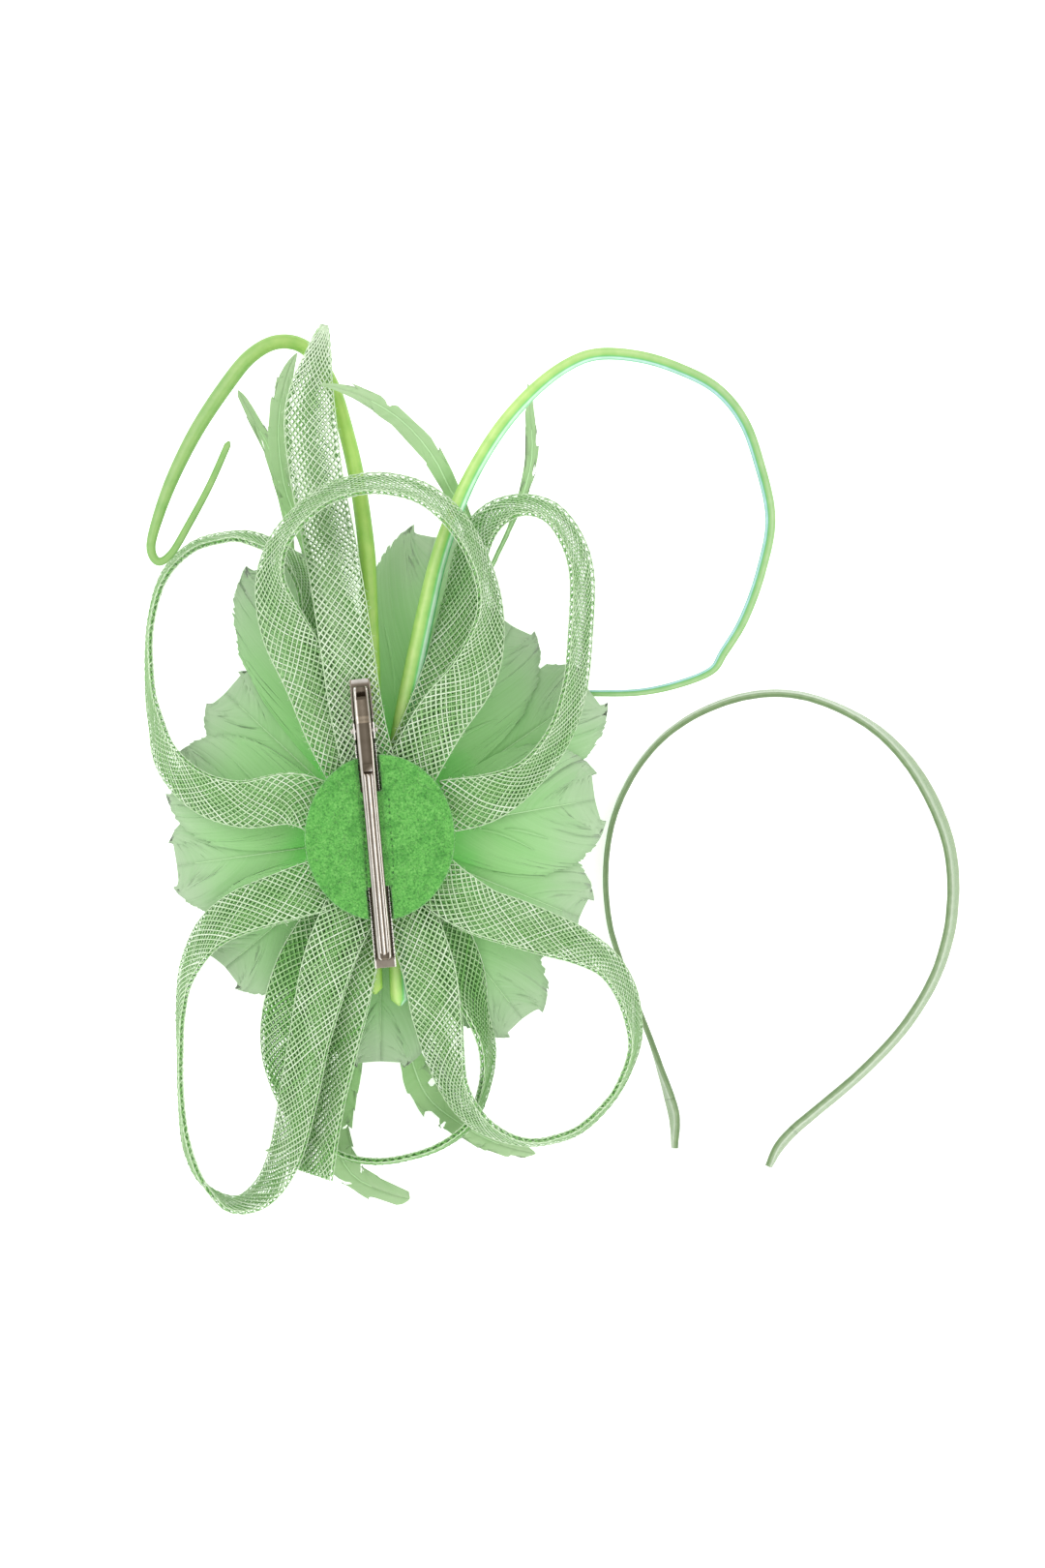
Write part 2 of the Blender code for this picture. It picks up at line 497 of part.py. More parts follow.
def build_headband(parent):
    """Plastic core in a satin sleeve, with a folded satin tab on each end."""
    stations = band_stations()
    tab = 4
    sleeve = stations[tab:-tab]
    core = shortened(shortened(sleeve, 0.2)[::-1], 0.2)
    add_band_piece("headband_core", core, SATIN + BAND_CLEARANCE, "band_plastic", parent)
    add_band_piece("headband_cover", sleeve, 0, "satin", parent, SATIN)
    left_tab = shortened(stations[:tab + 1][::-1], 0.3)
    add_band_piece("headband_tab_left", left_tab, 0, "satin", parent)
    add_band_piece("headband_tab_right", shortened(stations[-tab - 1:], 0.3), 0, "satin", parent)


clear_scene()
PARTS = make_collection("fascinator")
CUTTERS = make_collection("cutters")
MATERIALS = {name: make_material(name) for name in FINISHES}

hub = bpy.data.objects.new("hub", None)
hub.location = (HUB[0] * MM, HUB[1] * MM, 0)
PARTS.objects.link(hub)

clip_frame = build_clip(hub)
build_felt(hub, clip_frame)
for name, route in BRAID_ROUTES.items():
    add_strip(name, with_width(route, BRAID_WIDTH), BRAID_THICK, "sinamay", hub)
for name, route in QUILL_ROUTES.items():
    add_tube(name, route, "quill", hub)
for name, route in PLUME_ROUTES.items():
    add_strip(name, route, PLUME_THICK, "plume", hub)
build_flower(hub)
build_headband(hub)
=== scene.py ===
"""Looks for the fascinator headpiece: woven loops, feathers, quills, felt, clip and headband."""

import math

import bmesh
import bpy
import numpy as np
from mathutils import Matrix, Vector, noise


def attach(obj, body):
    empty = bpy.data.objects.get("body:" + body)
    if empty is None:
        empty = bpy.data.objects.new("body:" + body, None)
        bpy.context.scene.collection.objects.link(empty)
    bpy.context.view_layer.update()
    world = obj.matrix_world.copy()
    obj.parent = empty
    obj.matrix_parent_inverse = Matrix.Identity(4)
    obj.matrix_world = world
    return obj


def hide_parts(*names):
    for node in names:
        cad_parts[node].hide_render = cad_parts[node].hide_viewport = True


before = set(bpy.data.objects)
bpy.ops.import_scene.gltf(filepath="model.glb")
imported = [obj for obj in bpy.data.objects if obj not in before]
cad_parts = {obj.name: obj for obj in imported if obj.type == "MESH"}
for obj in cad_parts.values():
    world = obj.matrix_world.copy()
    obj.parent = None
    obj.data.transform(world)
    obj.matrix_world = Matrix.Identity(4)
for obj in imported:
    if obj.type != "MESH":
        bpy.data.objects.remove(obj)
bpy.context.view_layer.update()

MM = 0.001
HUB = np.array((-53.1, -21.5, 0.0))  # the hub's place in the row frame, in millimetres
RNG = np.random.default_rng(7)

# ---------------------------------------------------------------- camera, floor and light
CENTRE = (-0.009, -0.005)
TRUE_SCALE_Z = 0.025  # the height at which the frame's long side is exactly VIEW_TALL
VIEW_TALL, LENS, SENSOR = 0.486, 420.0, 36.0


def add_camera():
    data = bpy.data.cameras.new("camera")
    data.lens, data.sensor_width, data.sensor_fit = LENS, SENSOR, "AUTO"
    data.clip_start, data.clip_end = 0.1, 20
    camera = bpy.data.objects.new("camera", data)
    camera.location = (*CENTRE, TRUE_SCALE_Z + LENS / SENSOR * VIEW_TALL)
    bpy.context.scene.collection.objects.link(camera)
    bpy.context.scene.camera = camera


def add_softbox(name, place, target, size, watts):
    data = bpy.data.lights.new(name, "AREA")
    data.shape, data.size, data.size_y, data.energy = "RECTANGLE", size[0], size[1], watts
    light = bpy.data.objects.new(name, data)
    light.location = place
    light.rotation_euler = (Vector(target) - Vector(place)).to_track_quat("-Z", "Y").to_euler()
    bpy.context.scene.collection.objects.link(light)


def add_studio():
    scene = bpy.context.scene
    scene.view_settings.view_transform = "Standard"
    world = bpy.data.worlds.new("studio")
    world.use_nodes = True
    world.node_tree.nodes["Background"].inputs["Color"].default_value = (1, 1, 1, 1)
    world.node_tree.nodes["Background"].inputs["Strength"].default_value = 1.02
    scene.world = world
    middle = (-0.02, 0.0, 0.02)
    add_softbox("softbox_left", (-1.1, 0.7, 1.3), middle, (0.9, 1.3), 8)
    add_softbox("softbox_right", (1.2, -0.3, 1.2), middle, (0.8, 1.2), 6)
    add_softbox("softbox_low", (-0.2, -1.4, 0.9), middle, (1.4, 0.6), 4)
    bpy.ops.mesh.primitive_plane_add(size=6, location=(0, 0, 0))
    floor = bpy.context.object
    floor.name = "floor"
    paper = plain_material("floor_paper", (0.93, 0.93, 0.93), 0.9)
    glow = paper.node_tree.nodes["Principled BSDF"]
    glow.inputs["Emission Color"].default_value = (1, 1, 1, 1)
    glow.inputs["Emission Strength"].default_value = 0.6
    floor.data.materials.append(paper)


# ---------------------------------------------------------------- materials
def plain_material(name, colour, roughness):
    material = bpy.data.materials.new(name)
    material.use_nodes = True
    shader = material.node_tree.nodes["Principled BSDF"]
    shader.inputs["Base Color"].default_value = (*colour, 1)
    shader.inputs["Roughness"].default_value = roughness
    shader.inputs["Specular IOR Level"].default_value = 0.2
    return material


class Nodes:
    """Short ways to add and join shader nodes."""

    def __init__(self, name, **uniform):
        self.material = bpy.data.materials.new(name)
        self.material.use_nodes = True
        self.tree = self.material.node_tree
        self.shader = self.tree.nodes["Principled BSDF"]
        for socket, value in uniform.items():
            self.shader.inputs[socket.replace("_", " ")].default_value = value

    def add(self, kind, **settings):
        node = self.tree.nodes.new("ShaderNode" + kind)
        for key, value in settings.items():
            setattr(node, key, value)
        return node

    def join(self, source, target):
        self.tree.links.new(source, target)

    def attribute(self, name):
        return self.add("Attribute", attribute_name=name).outputs["Fac"]

    def noise(self, scale, detail=3.0, stretch=(1, 1, 1), source="Object"):
        place = self.add("TexCoord").outputs[source]
        mapping = self.add("Mapping")
        mapping.inputs["Scale"].default_value = stretch
        texture = self.add("TexNoise")
        texture.inputs["Scale"].default_value = scale
        texture.inputs["Detail"].default_value = detail
        self.join(place, mapping.inputs["Vector"])
        self.join(mapping.outputs["Vector"], texture.inputs["Vector"])
        return texture.outputs["Fac"]

    def ramp(self, value, stops):
        ramp = self.add("ValToRGB")
        elements = ramp.color_ramp.elements
        while len(elements) < len(stops):
            elements.new(0.5)
        for element, (place, colour) in zip(elements, stops):
            element.position = place
            element.color = (*colour, 1)
        self.join(value, ramp.inputs["Fac"])
        return ramp.outputs["Color"]

    def mix(self, factor, a, b, blend="MIX"):
        mix = self.add("Mix", data_type="RGBA", blend_type=blend)
        for socket, value in ((mix.inputs[0], factor), (mix.inputs[6], a), (mix.inputs[7], b)):
            if isinstance(value, bpy.types.NodeSocket):
                self.join(value, socket)
            elif isinstance(value, tuple):
                socket.default_value = (*value, 1)
            else:
                socket.default_value = value
        return mix.outputs[2]

    def math(self, operation, a, b):
        node = self.add("Math", operation=operation)
        for socket, value in zip(node.inputs, (a, b)):
            if isinstance(value, bpy.types.NodeSocket):
                self.join(value, socket)
            else:
                socket.default_value = value
        return node.outputs[0]

    def bump(self, height, strength, distance=0.0002):
        bump = self.add("Bump")
        bump.inputs["Strength"].default_value = strength
        bump.inputs["Distance"].default_value = distance
        self.join(height, bump.inputs["Height"])
        self.join(bump.outputs["Normal"], self.shader.inputs["Normal"])

    def colour(self, source):
        self.join(source, self.shader.inputs["Base Color"])

    def roughness(self, value, low, high):
        ranged = self.add("MapRange")
        ranged.inputs["To Min"].default_value = low
        ranged.inputs["To Max"].default_value = high
        self.join(value, ranged.inputs["Value"])
        self.join(ranged.outputs["Result"], self.shader.inputs["Roughness"])


def sinamay_material():
    n = Nodes("sinamay_thread", Sheen_Weight=0.15, Specular_IOR_Level=0.35)
    # The low end of the tint ramp is painted shade: the threads' inner sides, the inner ply and the groove
    # between the edge cords get low tint. The rest is the threads' own paleness.
    dye_and_painted_light = n.ramp(n.attribute("tint"), [(0.0, (0.10, 0.36, 0.05)), (0.3, (0.24, 0.54, 0.15)),
                                        (0.65, (0.49, 0.69, 0.39)), (1.0, (0.80, 0.90, 0.72))])
    patches = n.ramp(n.noise(900, 4), [(0.3, (0.72, 0.80, 0.68)), (0.7, (1, 1, 1))])
    n.colour(n.mix(1.0, dye_and_painted_light, patches, "MULTIPLY"))
    n.roughness(n.noise(2500), 0.45, 0.75)
    n.bump(n.noise(5000, 2), 0.35, 0.0001)
    return n.material


def feather_material(name, root, middle, tip):
    """Colour strongest at the root that thins to a grey-mint tip, streaked along the barbs: partly dye,
    partly painted light standing in for the green light that bounces among the feathers near the hub.
    """
    # Emission_Strength gives the vane a painted glow.
    n = Nodes(name, Sheen_Weight=0.25, Sheen_Roughness=0.5, Specular_IOR_Level=0.25,
              Emission_Strength=0.22)
    along = n.attribute("along")
    cloudy = n.math("MULTIPLY_ADD", n.noise(70, 3), 0.22)
    cloudy.node.inputs[2].default_value = -0.11
    dye_and_painted_light = n.ramp(n.math("ADD", along, cloudy),
                  [(0.08, root), (0.40, middle),
                   (0.68, tuple(0.7 * a + 0.3 * b for a, b in zip(middle, tip))),
                   (1.0, tip)])
    streak = n.ramp(n.attribute("tint"), [(0.0, (0.84, 0.94, 0.82)), (0.5, (0.98, 0.99, 0.97)),
                                          (1.0, (1.08, 1.05, 1.08))])
    vane = n.mix(1.0, dye_and_painted_light, streak, "MULTIPLY")
    n.colour(vane)
    n.join(vane, n.shader.inputs["Emission Color"])  # painted glow: the vane gives off its own colour, standing in for light that comes through a vane this thin
    n.roughness(n.noise(400), 0.55, 0.85)
    n.bump(n.math("ADD", n.attribute("tint"), n.noise(2600, 2)), 0.2, 0.0001)
    return n.material


def quill_material(name, stops):
    n = Nodes(name, Specular_IOR_Level=0.45, Coat_Weight=0.1, Coat_Roughness=0.3)
    # Colour by angle round the quill: on the right quill the pale mint band is a painted highlight, and the
    # dark green at its edge and beside the band is painted shade. The left quill is darker towards its
    # sides.
    side = n.ramp(n.attribute("around"), stops)
    fade = n.ramp(n.noise(240, 4, (1, 1, 1)), [(0.3, (0.80, 0.92, 0.78)), (0.7, (1.08, 1.03, 1.05))])
    # paler and warmer towards the butt, darker and bluer towards the end
    lengthwise_tone = n.ramp(n.attribute("along"), [(0.0, (1.2, 1.12, 1.1)), (0.4, (1.15, 1.08, 1.05)),
                                         (0.6, (0.82, 0.82, 1.15)), (1.0, (0.75, 0.8, 1.1))])
    n.colour(n.mix(1.0, n.mix(1.0, side, fade, "MULTIPLY"), lengthwise_tone, "MULTIPLY"))
    n.roughness(n.noise(900), 0.28, 0.5)
    n.bump(n.math("ADD", n.attribute("tint"), n.noise(1800, 2)), 0.25, 0.00015)
    return n.material


def felt_material():
    n = Nodes("wool_felt", Sheen_Weight=0.5, Sheen_Roughness=0.6, Specular_IOR_Level=0.15)
    matted = n.ramp(n.noise(1700, 6), [(0.32, (0.035, 0.20, 0.02)), (0.46, (0.085, 0.37, 0.05)),
                                       (0.60, (0.13, 0.44, 0.075)), (0.78, (0.24, 0.56, 0.15))])
    worn = n.ramp(n.noise(240, 5), [(0.36, (0.62, 0.78, 0.62)), (0.50, (1, 1, 1))])
    n.colour(n.mix(1.0, matted, worn, "MULTIPLY"))
    n.roughness(n.noise(1200), 0.85, 1.0)
    n.bump(n.noise(1900, 6), 0.9, 0.0004)
    return n.material


def fibre_material(name, low, high):
    n = Nodes(name, Sheen_Weight=0.2)
    n.colour(n.ramp(n.attribute("tint"), [(0.0, low), (1.0, high)]))
    n.roughness(n.noise(2000), 0.7, 0.95)
    return n.material


def satin_material():
    n = Nodes("satin_weave", Sheen_Weight=0.35, Sheen_Roughness=0.4, Specular_IOR_Level=0.5)
    # Colour by place round the band's section: the lighter bands along both rounded edges of one face are
    # painted satin highlights. The rest sets the satin's green, darkest on the other face.
    satin_colour_and_painted_sheen = n.ramp(n.attribute("around"), [
        (0.0, (0.19, 0.28, 0.14)), (0.10, (0.36, 0.45, 0.30)), (0.22, (0.14, 0.26, 0.08)),
        (0.32, (0.16, 0.27, 0.09)), (0.42, (0.22, 0.31, 0.16)), (0.5, (0.17, 0.26, 0.11)),
        (0.75, (0.12, 0.20, 0.08)), (1.0, (0.15, 0.24, 0.10))])
    n.colour(n.mix(1.0, satin_colour_and_painted_sheen, n.ramp(n.noise(500, 4), [(0.3, (0.84, 0.88, 0.82)), (0.7, (1.1, 1.08, 1.1))]),
                   "MULTIPLY"))
    weave = n.add("TexWave", wave_type="BANDS", bands_direction="Z")
    weave.inputs["Scale"].default_value = 1400
    weave.inputs["Distortion"].default_value = 1.5
    n.join(n.add("TexCoord").outputs["Object"], weave.inputs["Vector"])
    n.roughness(n.noise(1500), 0.28, 0.5)
    n.bump(weave.outputs["Fac"], 0.25, 0.00006)
    return n.material


def nickel_material():
    n = Nodes("nickel_plate", Metallic=1.0, Anisotropic=0.3)
    tone = n.ramp(n.noise(350, 4), [(0.3, (0.80, 0.78, 0.74)), (0.7, (1.0, 0.99, 0.97))])
    # Painted light on the plating: dark brown is painted shade and a painted brown reflection, bright is a
    # painted highlight.
    worn = n.ramp(n.attribute("worn"), [(0.0, (0.075, 0.06, 0.04)), (0.45, (0.26, 0.22, 0.175)),
                                        (1.0, (0.92, 0.90, 0.87))])
    n.colour(n.mix(1.0, worn, tone, "MULTIPLY"))
    n.roughness(n.noise(1500, 4, (1, 0.12, 1)), 0.12, 0.30)
    n.bump(n.noise(2600, 4, (1, 0.08, 1)), 0.10, 0.00006)
    return n.material


def band_core_material():
    n = Nodes("band_plastic", Specular_IOR_Level=0.4)
    n.colour(n.ramp(n.noise(200), [(0.3, (0.76, 0.78, 0.74)), (0.7, (0.84, 0.85, 0.81))]))
    n.roughness(n.noise(900), 0.35, 0.5)
    n.bump(n.noise(1500), 0.1, 0.0001)
    return n.material


# ---------------------------------------------------------------- meshes
class Shape:
    """Vertices, faces and per-vertex numbers of one piece, collected part by part in millimetres."""

    def __init__(self):
        self.points, self.faces, self.values, self.count = [], [], [], 0

    def add(self, points, faces, **values):
        points = np.asarray(points, float).reshape(-1, 3)
        self.faces.append(np.asarray(faces, int).reshape(-1, 4) + self.count)
        self.points.append(points)
        self.values.append({k: np.broadcast_to(np.asarray(v, float), (len(points),))
                            for k, v in values.items()})
        self.count += len(points)

    def build(self, name, material, body="fascinator", replaces=(), thickness=None, level=0):
        points = np.concatenate(self.points) * MM
        faces = np.concatenate(self.faces)
        mesh = bpy.data.meshes.new(name)
        loops = [tuple(dict.fromkeys(face)) for face in faces.tolist()]
        mesh.from_pydata(points.tolist(), [], loops)
        for key in sorted({k for v in self.values for k in v}):
            layer = mesh.attributes.new(key, "FLOAT", "POINT")
            layer.data.foreach_set("value", np.concatenate(
                [v.get(key, np.zeros(len(p))) for v, p in zip(self.values, self.points)]).astype(np.float32))
        return finish_piece(name, mesh, material, body, replaces, thickness, level)


def finish_piece(name, mesh, material, body, replaces=(), thickness=None, level=0):
    tidy = bmesh.new()
    tidy.from_mesh(mesh)
    if thickness is None:
        bmesh.ops.recalc_face_normals(tidy, faces=tidy.faces)
    for face in tidy.faces:
        face.smooth = True
    tidy.to_mesh(mesh)
    tidy.free()
    mesh.materials.append(material)
    piece = bpy.data.objects.new(name, mesh)
    bpy.context.scene.collection.objects.link(piece)
    if thickness is not None:
        solid = piece.modifiers.new("thickness", "SOLIDIFY")
        solid.thickness, solid.offset = thickness * MM, 0
    if level:
        rounded = piece.modifiers.new("rounding", "SUBSURF")
        rounded.levels = rounded.render_levels = level
    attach(piece, body)
    if replaces:
        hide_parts(*replaces)
    return piece


def unit(v):
    return v / np.maximum(np.linalg.norm(v, axis=-1, keepdims=True), 1e-12)


def tangents(points):
    return unit(np.gradient(points, axis=0))


def tube_walls(count, sides):
    """The quads round a tube of this many rings."""
    base = np.arange(count - 1)[:, None] * sides
    j, k = np.arange(sides)[None], (np.arange(sides)[None] + 1) % sides
    return np.stack([base + j, base + k, base + sides + k, base + sides + j], -1).reshape(-1, 4)


def tube_faces(count, sides):
    """The same with both ends closed, each by a fan of quads."""
    last = (count - 1) * sides
    caps = []
    for i in range(1, sides - 1, 2):
        third = min(i + 2, sides - 1)
        caps += [(0, i, i + 1, third), (last, last + third, last + i + 1, last + i)]
    return np.concatenate([tube_walls(count, sides), np.array(caps)])


def grid_faces(index):
    """The quads of a grid of vertex numbers."""
    return np.stack([index[:-1, :-1], index[1:, :-1], index[1:, 1:], index[:-1, 1:]], -1)


def add_thread(shape, points, normals, wide, tall, sides=4, start=0.0, **values):
    """A closed thin bar along a polyline. wide and tall are half sizes, one number or one per point."""
    points, normals = np.asarray(points, float), np.asarray(normals, float)
    count = len(points)
    along = tangents(points)
    across = unit(np.cross(along, normals))
    normals = np.cross(across, along)
    angles = start + np.arange(sides) * 2 * math.pi / sides
    wide = np.broadcast_to(np.asarray(wide, float), (count,))[:, None, None]
    tall = np.broadcast_to(np.asarray(tall, float), (count,))[:, None, None]
    rings = (points[:, None] + wide * np.cos(angles)[None, :, None] * across[:, None]
             + tall * np.sin(angles)[None, :, None] * normals[:, None])
    rows = {k: np.repeat(np.broadcast_to(v, (count,)), sides) if np.ndim(v) < 2 else np.ravel(v)
            for k, v in values.items()}
    shape.add(rings.reshape(-1, 3), tube_faces(count, sides), **rows)


def smooth_route(rows, steps):
    """Catmull-Rom curve through rows of numbers, each column blended alike."""
    rows = np.asarray(rows, float)
    ends = np.vstack([rows[0] * 2 - rows[1], rows, rows[-1] * 2 - rows[-2]])
    curve = []
    for a, b, c, d in zip(ends, ends[1:], ends[2:], ends[3:]):
        for t in np.arange(steps) / steps:
            curve.append(0.5 * (2 * b + (c - a) * t + (2 * a - 5 * b + 4 * c - d) * t * t
                                + (3 * b - a - 3 * c + d) * t ** 3))
    return np.array(curve + [rows[-1]])


class Ribbon:
    """A strip's middle line, across direction, surface normal and half width, by distance along it."""

    def __init__(self, route, width=None, steps=10):
        rows = [row if len(row) == 5 else (*row, width) for row in route]
        curve = smooth_route(rows, steps)
        centre = curve[:, :3] + HUB
        along = tangents(centre)
        side = unit(np.cross(along, (0, 0, 1)))
        lean = np.radians(curve[:, 3:4])
        across = side * np.cos(lean) + np.cross(side, along) * np.sin(lean)
        across = unit(across)
        self.table = np.hstack([centre, across, np.cross(across, along), curve[:, 4:5] / 2])
        self.place = np.concatenate([[0], np.cumsum(np.linalg.norm(np.diff(centre, axis=0), axis=1))])
        self.length = self.place[-1]

    def at(self, distance):
        distance = np.asarray(distance, float)
        columns = [np.interp(distance, self.place, column) for column in self.table.T]
        table = np.stack(columns, -1)
        return table[..., :3], unit(table[..., 3:6]), unit(table[..., 6:9]), table[..., 9]


# ---------------------------------------------------------------- woven sinamay loops
BRAID_WIDTH = 16.5
THREAD_PITCH, THREAD_ANGLE = 1.5, math.radians(41)
THREAD_HALF, THREAD_TALL = 0.27, 0.07  # to the corners of a thread's section
INNER_SHADE = 0.12  # painted shade: how much of its paleness a thread keeps on the side that faces into the tube
FLAT_HALF, EDGE_RADIUS, FACE_GAP = 7.45, 0.78, 0.46  # the flattened tube's section

BRAID_ROUTES = {
    "braid_loop_top": [
        (-7, 18, 39.6, 0), (-14.4, 31.8, 39.2, 0), (-22, 49.8, 38.8, 5), (-29.4, 64.4, 39.6, 28),
        (-33.4, 78.8, 43.5, 58), (-32, 88.8, 45.5, 68), (-27.4, 96.4, 46.8, 71),
        (-18.4, 104.6, 47.8, 71), (-8, 108.6, 48, 70), (2.4, 109.2, 48, 69), (14.3, 105.7, 47.8, 69),
        (24.6, 96.4, 47, 69), (32, 82, 45.5, 71), (33.8, 67.4, 43.5, 61), (29.1, 51, 41.5, 30),
        (18.6, 36.3, 40.2, 6), (8.5, 19, 39.6, 0)],
    "braid_leaf_top": [
        (-2.4, 18, 41.0, 0), (-7, 37.8, 41.5, 0), (-10.4, 60, 42.6, 0), (-13.6, 80, 40, 0),
        (-16.4, 95, 34.5, 0), (-19.6, 111, 32.5, 0), (-21.6, 128, 32.5, 0), (-21.2, 138, 33.2, 0, 14),
        (-19.6, 147, 34, 0, 9.5), (-18.0, 155, 34.6, 0, 5), (-17.2, 158.6, 35, 0, 2)],
    "braid_loop_left": [
        (-17.5, 9, 40.8, 0), (-27.9, 12, 40.0, 14), (-42.9, 10.2, 38.5, 32), (-56.4, 14.4, 34, 46),
        (-66.3, 24.3, 26, 62), (-70.5, 37.8, 17.5, 78), (-72, 51.3, 11, 84), (-71.6, 66, 8.5, 86),
        (-67.6, 80.6, 8.5, 84), (-58.6, 90, 10, 82), (-46.4, 93.2, 15, 81), (-37.2, 91.7, 21, 78),
        (-28, 86.4, 26.5, 74), (-21.3, 76, 30, 64), (-17.4, 60.3, 33, 35), (-12.3, 39.3, 35.8, -4),
        (-6, 20, 36.2, 0)],
    "braid_loop_right": [
        (8, 20, 37.2, 0), (15.6, 36.3, 36.6, 2), (21.6, 52.8, 34.5, 20), (25.2, 73.8, 31, 48),
        (29.1, 91, 28.5, 54), (35.1, 99.6, 27.5, 61), (44, 103, 27, 69), (53, 100.6, 26.5, 69),
        (59.3, 92.4, 26.5, 67), (62.5, 81.2, 26.5, 66), (62.1, 64, 27.5, 66), (60.3, 46.4, 29.5, 66),
        (55.2, 31.2, 32.5, 65), (45.6, 18.9, 36, 58), (33.6, 12.3, 37.8, 30), (20, 9.5, 38.4, 0)],
    "braid_loop_lower_left": [
        (-17.5, -14.5, 39.8, 0), (-27.6, -17.7, 39.6, -20), (-43.8, -23.4, 36.5, -38),
        (-53.4, -30, 31, -55), (-59.7, -40.5, 22.5, -72), (-62.1, -52.2, 14, -82),
        (-62.4, -67.2, 9.2, -87), (-62, -83, 8.5, -87), (-60, -97.2, 8.4, -84),
        (-54.9, -107.8, 9, -88), (-46, -113.6, 10.5, -104), (-36.9, -110, 14, -118),
        (-29.9, -98.8, 21.5, -127), (-25.5, -81.3, 30, -134), (-21.3, -60, 36, -140),
        (-15.9, -38.4, 40, -162), (-9, -22, 41, -180)],
    "braid_loop_bottom": [
        (-11.5, -19.5, 36.2, 0), (-16.5, -27.5, 35, 0), (-24.3, -40.2, 31.5, -15),
        (-29.1, -55.2, 27.5, -25), (-30.3, -68.7, 21.5, -40), (-27.9, -82.2, 14.5, -60, 15),
        (-21.9, -92.7, 9.5, -78, 13.5), (-12.9, -98.7, 9.2, -85, 13), (-2.4, -100.8, 9.4, -86, 13),
        (8.1, -99.6, 10, -86, 13), (18.6, -96, 10.8, -85, 13), (27.6, -89.1, 12.5, -83, 13.5),
        (32.2, -77.7, 18.5, -80, 15), (33.2, -65.7, 28, -76), (29.8, -53.7, 31.5, -66),
        (24.6, -40.2, 32, -30), (17.1, -26.7, 35.4, 0), (12.5, -19.5, 36.2, 0)],
    "braid_tail_bottom": [
        (-4, -20, 37.9, 0), (-6.6, -30, 37.8, 0), (-9, -40, 37.6, -10), (-11.3, -52.2, 35.8, -24),
        (-14.4, -68.7, 31.5, -40), (-17.6, -85.2, 28, -46), (-20.6, -104.7, 25, -46)],
    "braid_loop_lower_right": [
        (16.5, -12.5, 41, 0), (22.5, -17.5, 41, 5), (31.8, -23.1, 40, 25), (41.7, -26.4, 38.6, 30),
        (51.3, -29.7, 36.6, 38), (61.4, -33.4, 34, 50), (69.6, -38.4, 30.5, 62), (75.2, -45.8, 26.5, 67),
        (78.3, -54.6, 22.5, 73), (79, -63.6, 17.8, 80), (76.5, -72.6, 12.8, 84),
        (71.1, -82.2, 8.5, 85), (62.1, -90.6, 10, 84), (51.3, -94.2, 15.5, 84), (41.7, -93.9, 21.5, 84),
        (33.6, -90.6, 26.5, 76), (27.6, -85.2, 29, 68), (22.5, -76.8, 30.5, 60), (19.5, -65.7, 33, 42),
        (17.4, -53.7, 36.5, 20), (15, -40.5, 38.6, 5), (10.5, -27, 39.6, 0), (8.5, -20, 39.8, 0)],
}


def braid_section(samples=96):
    """The flattened tube's outline: offsets across and out of the strip, by distance round it."""
    turn = np.linspace(math.pi / 2, -math.pi / 2, 9)
    flat = np.linspace(-FLAT_HALF, FLAT_HALF, 21)
    bulge = FACE_GAP + (EDGE_RADIUS - FACE_GAP) * (np.abs(flat) / FLAT_HALF) ** 6
    right = np.stack([FLAT_HALF + EDGE_RADIUS * np.cos(turn), EDGE_RADIUS * np.sin(turn)], 1)
    outline = np.vstack([np.stack([flat, bulge], 1)[:-1], right, np.stack([-flat, -bulge], 1)[1:-1],
                         right * (-1, 1) * (1, -1)])
    closed = np.vstack([outline, outline[:1]])
    reach = np.concatenate([[0], np.cumsum(np.linalg.norm(np.diff(closed, axis=0), axis=1))])
    places = np.linspace(0, reach[-1], samples + 1)
    return np.stack([np.interp(places, reach, closed[:, i]) for i in (0, 1)], 1), reach[-1]


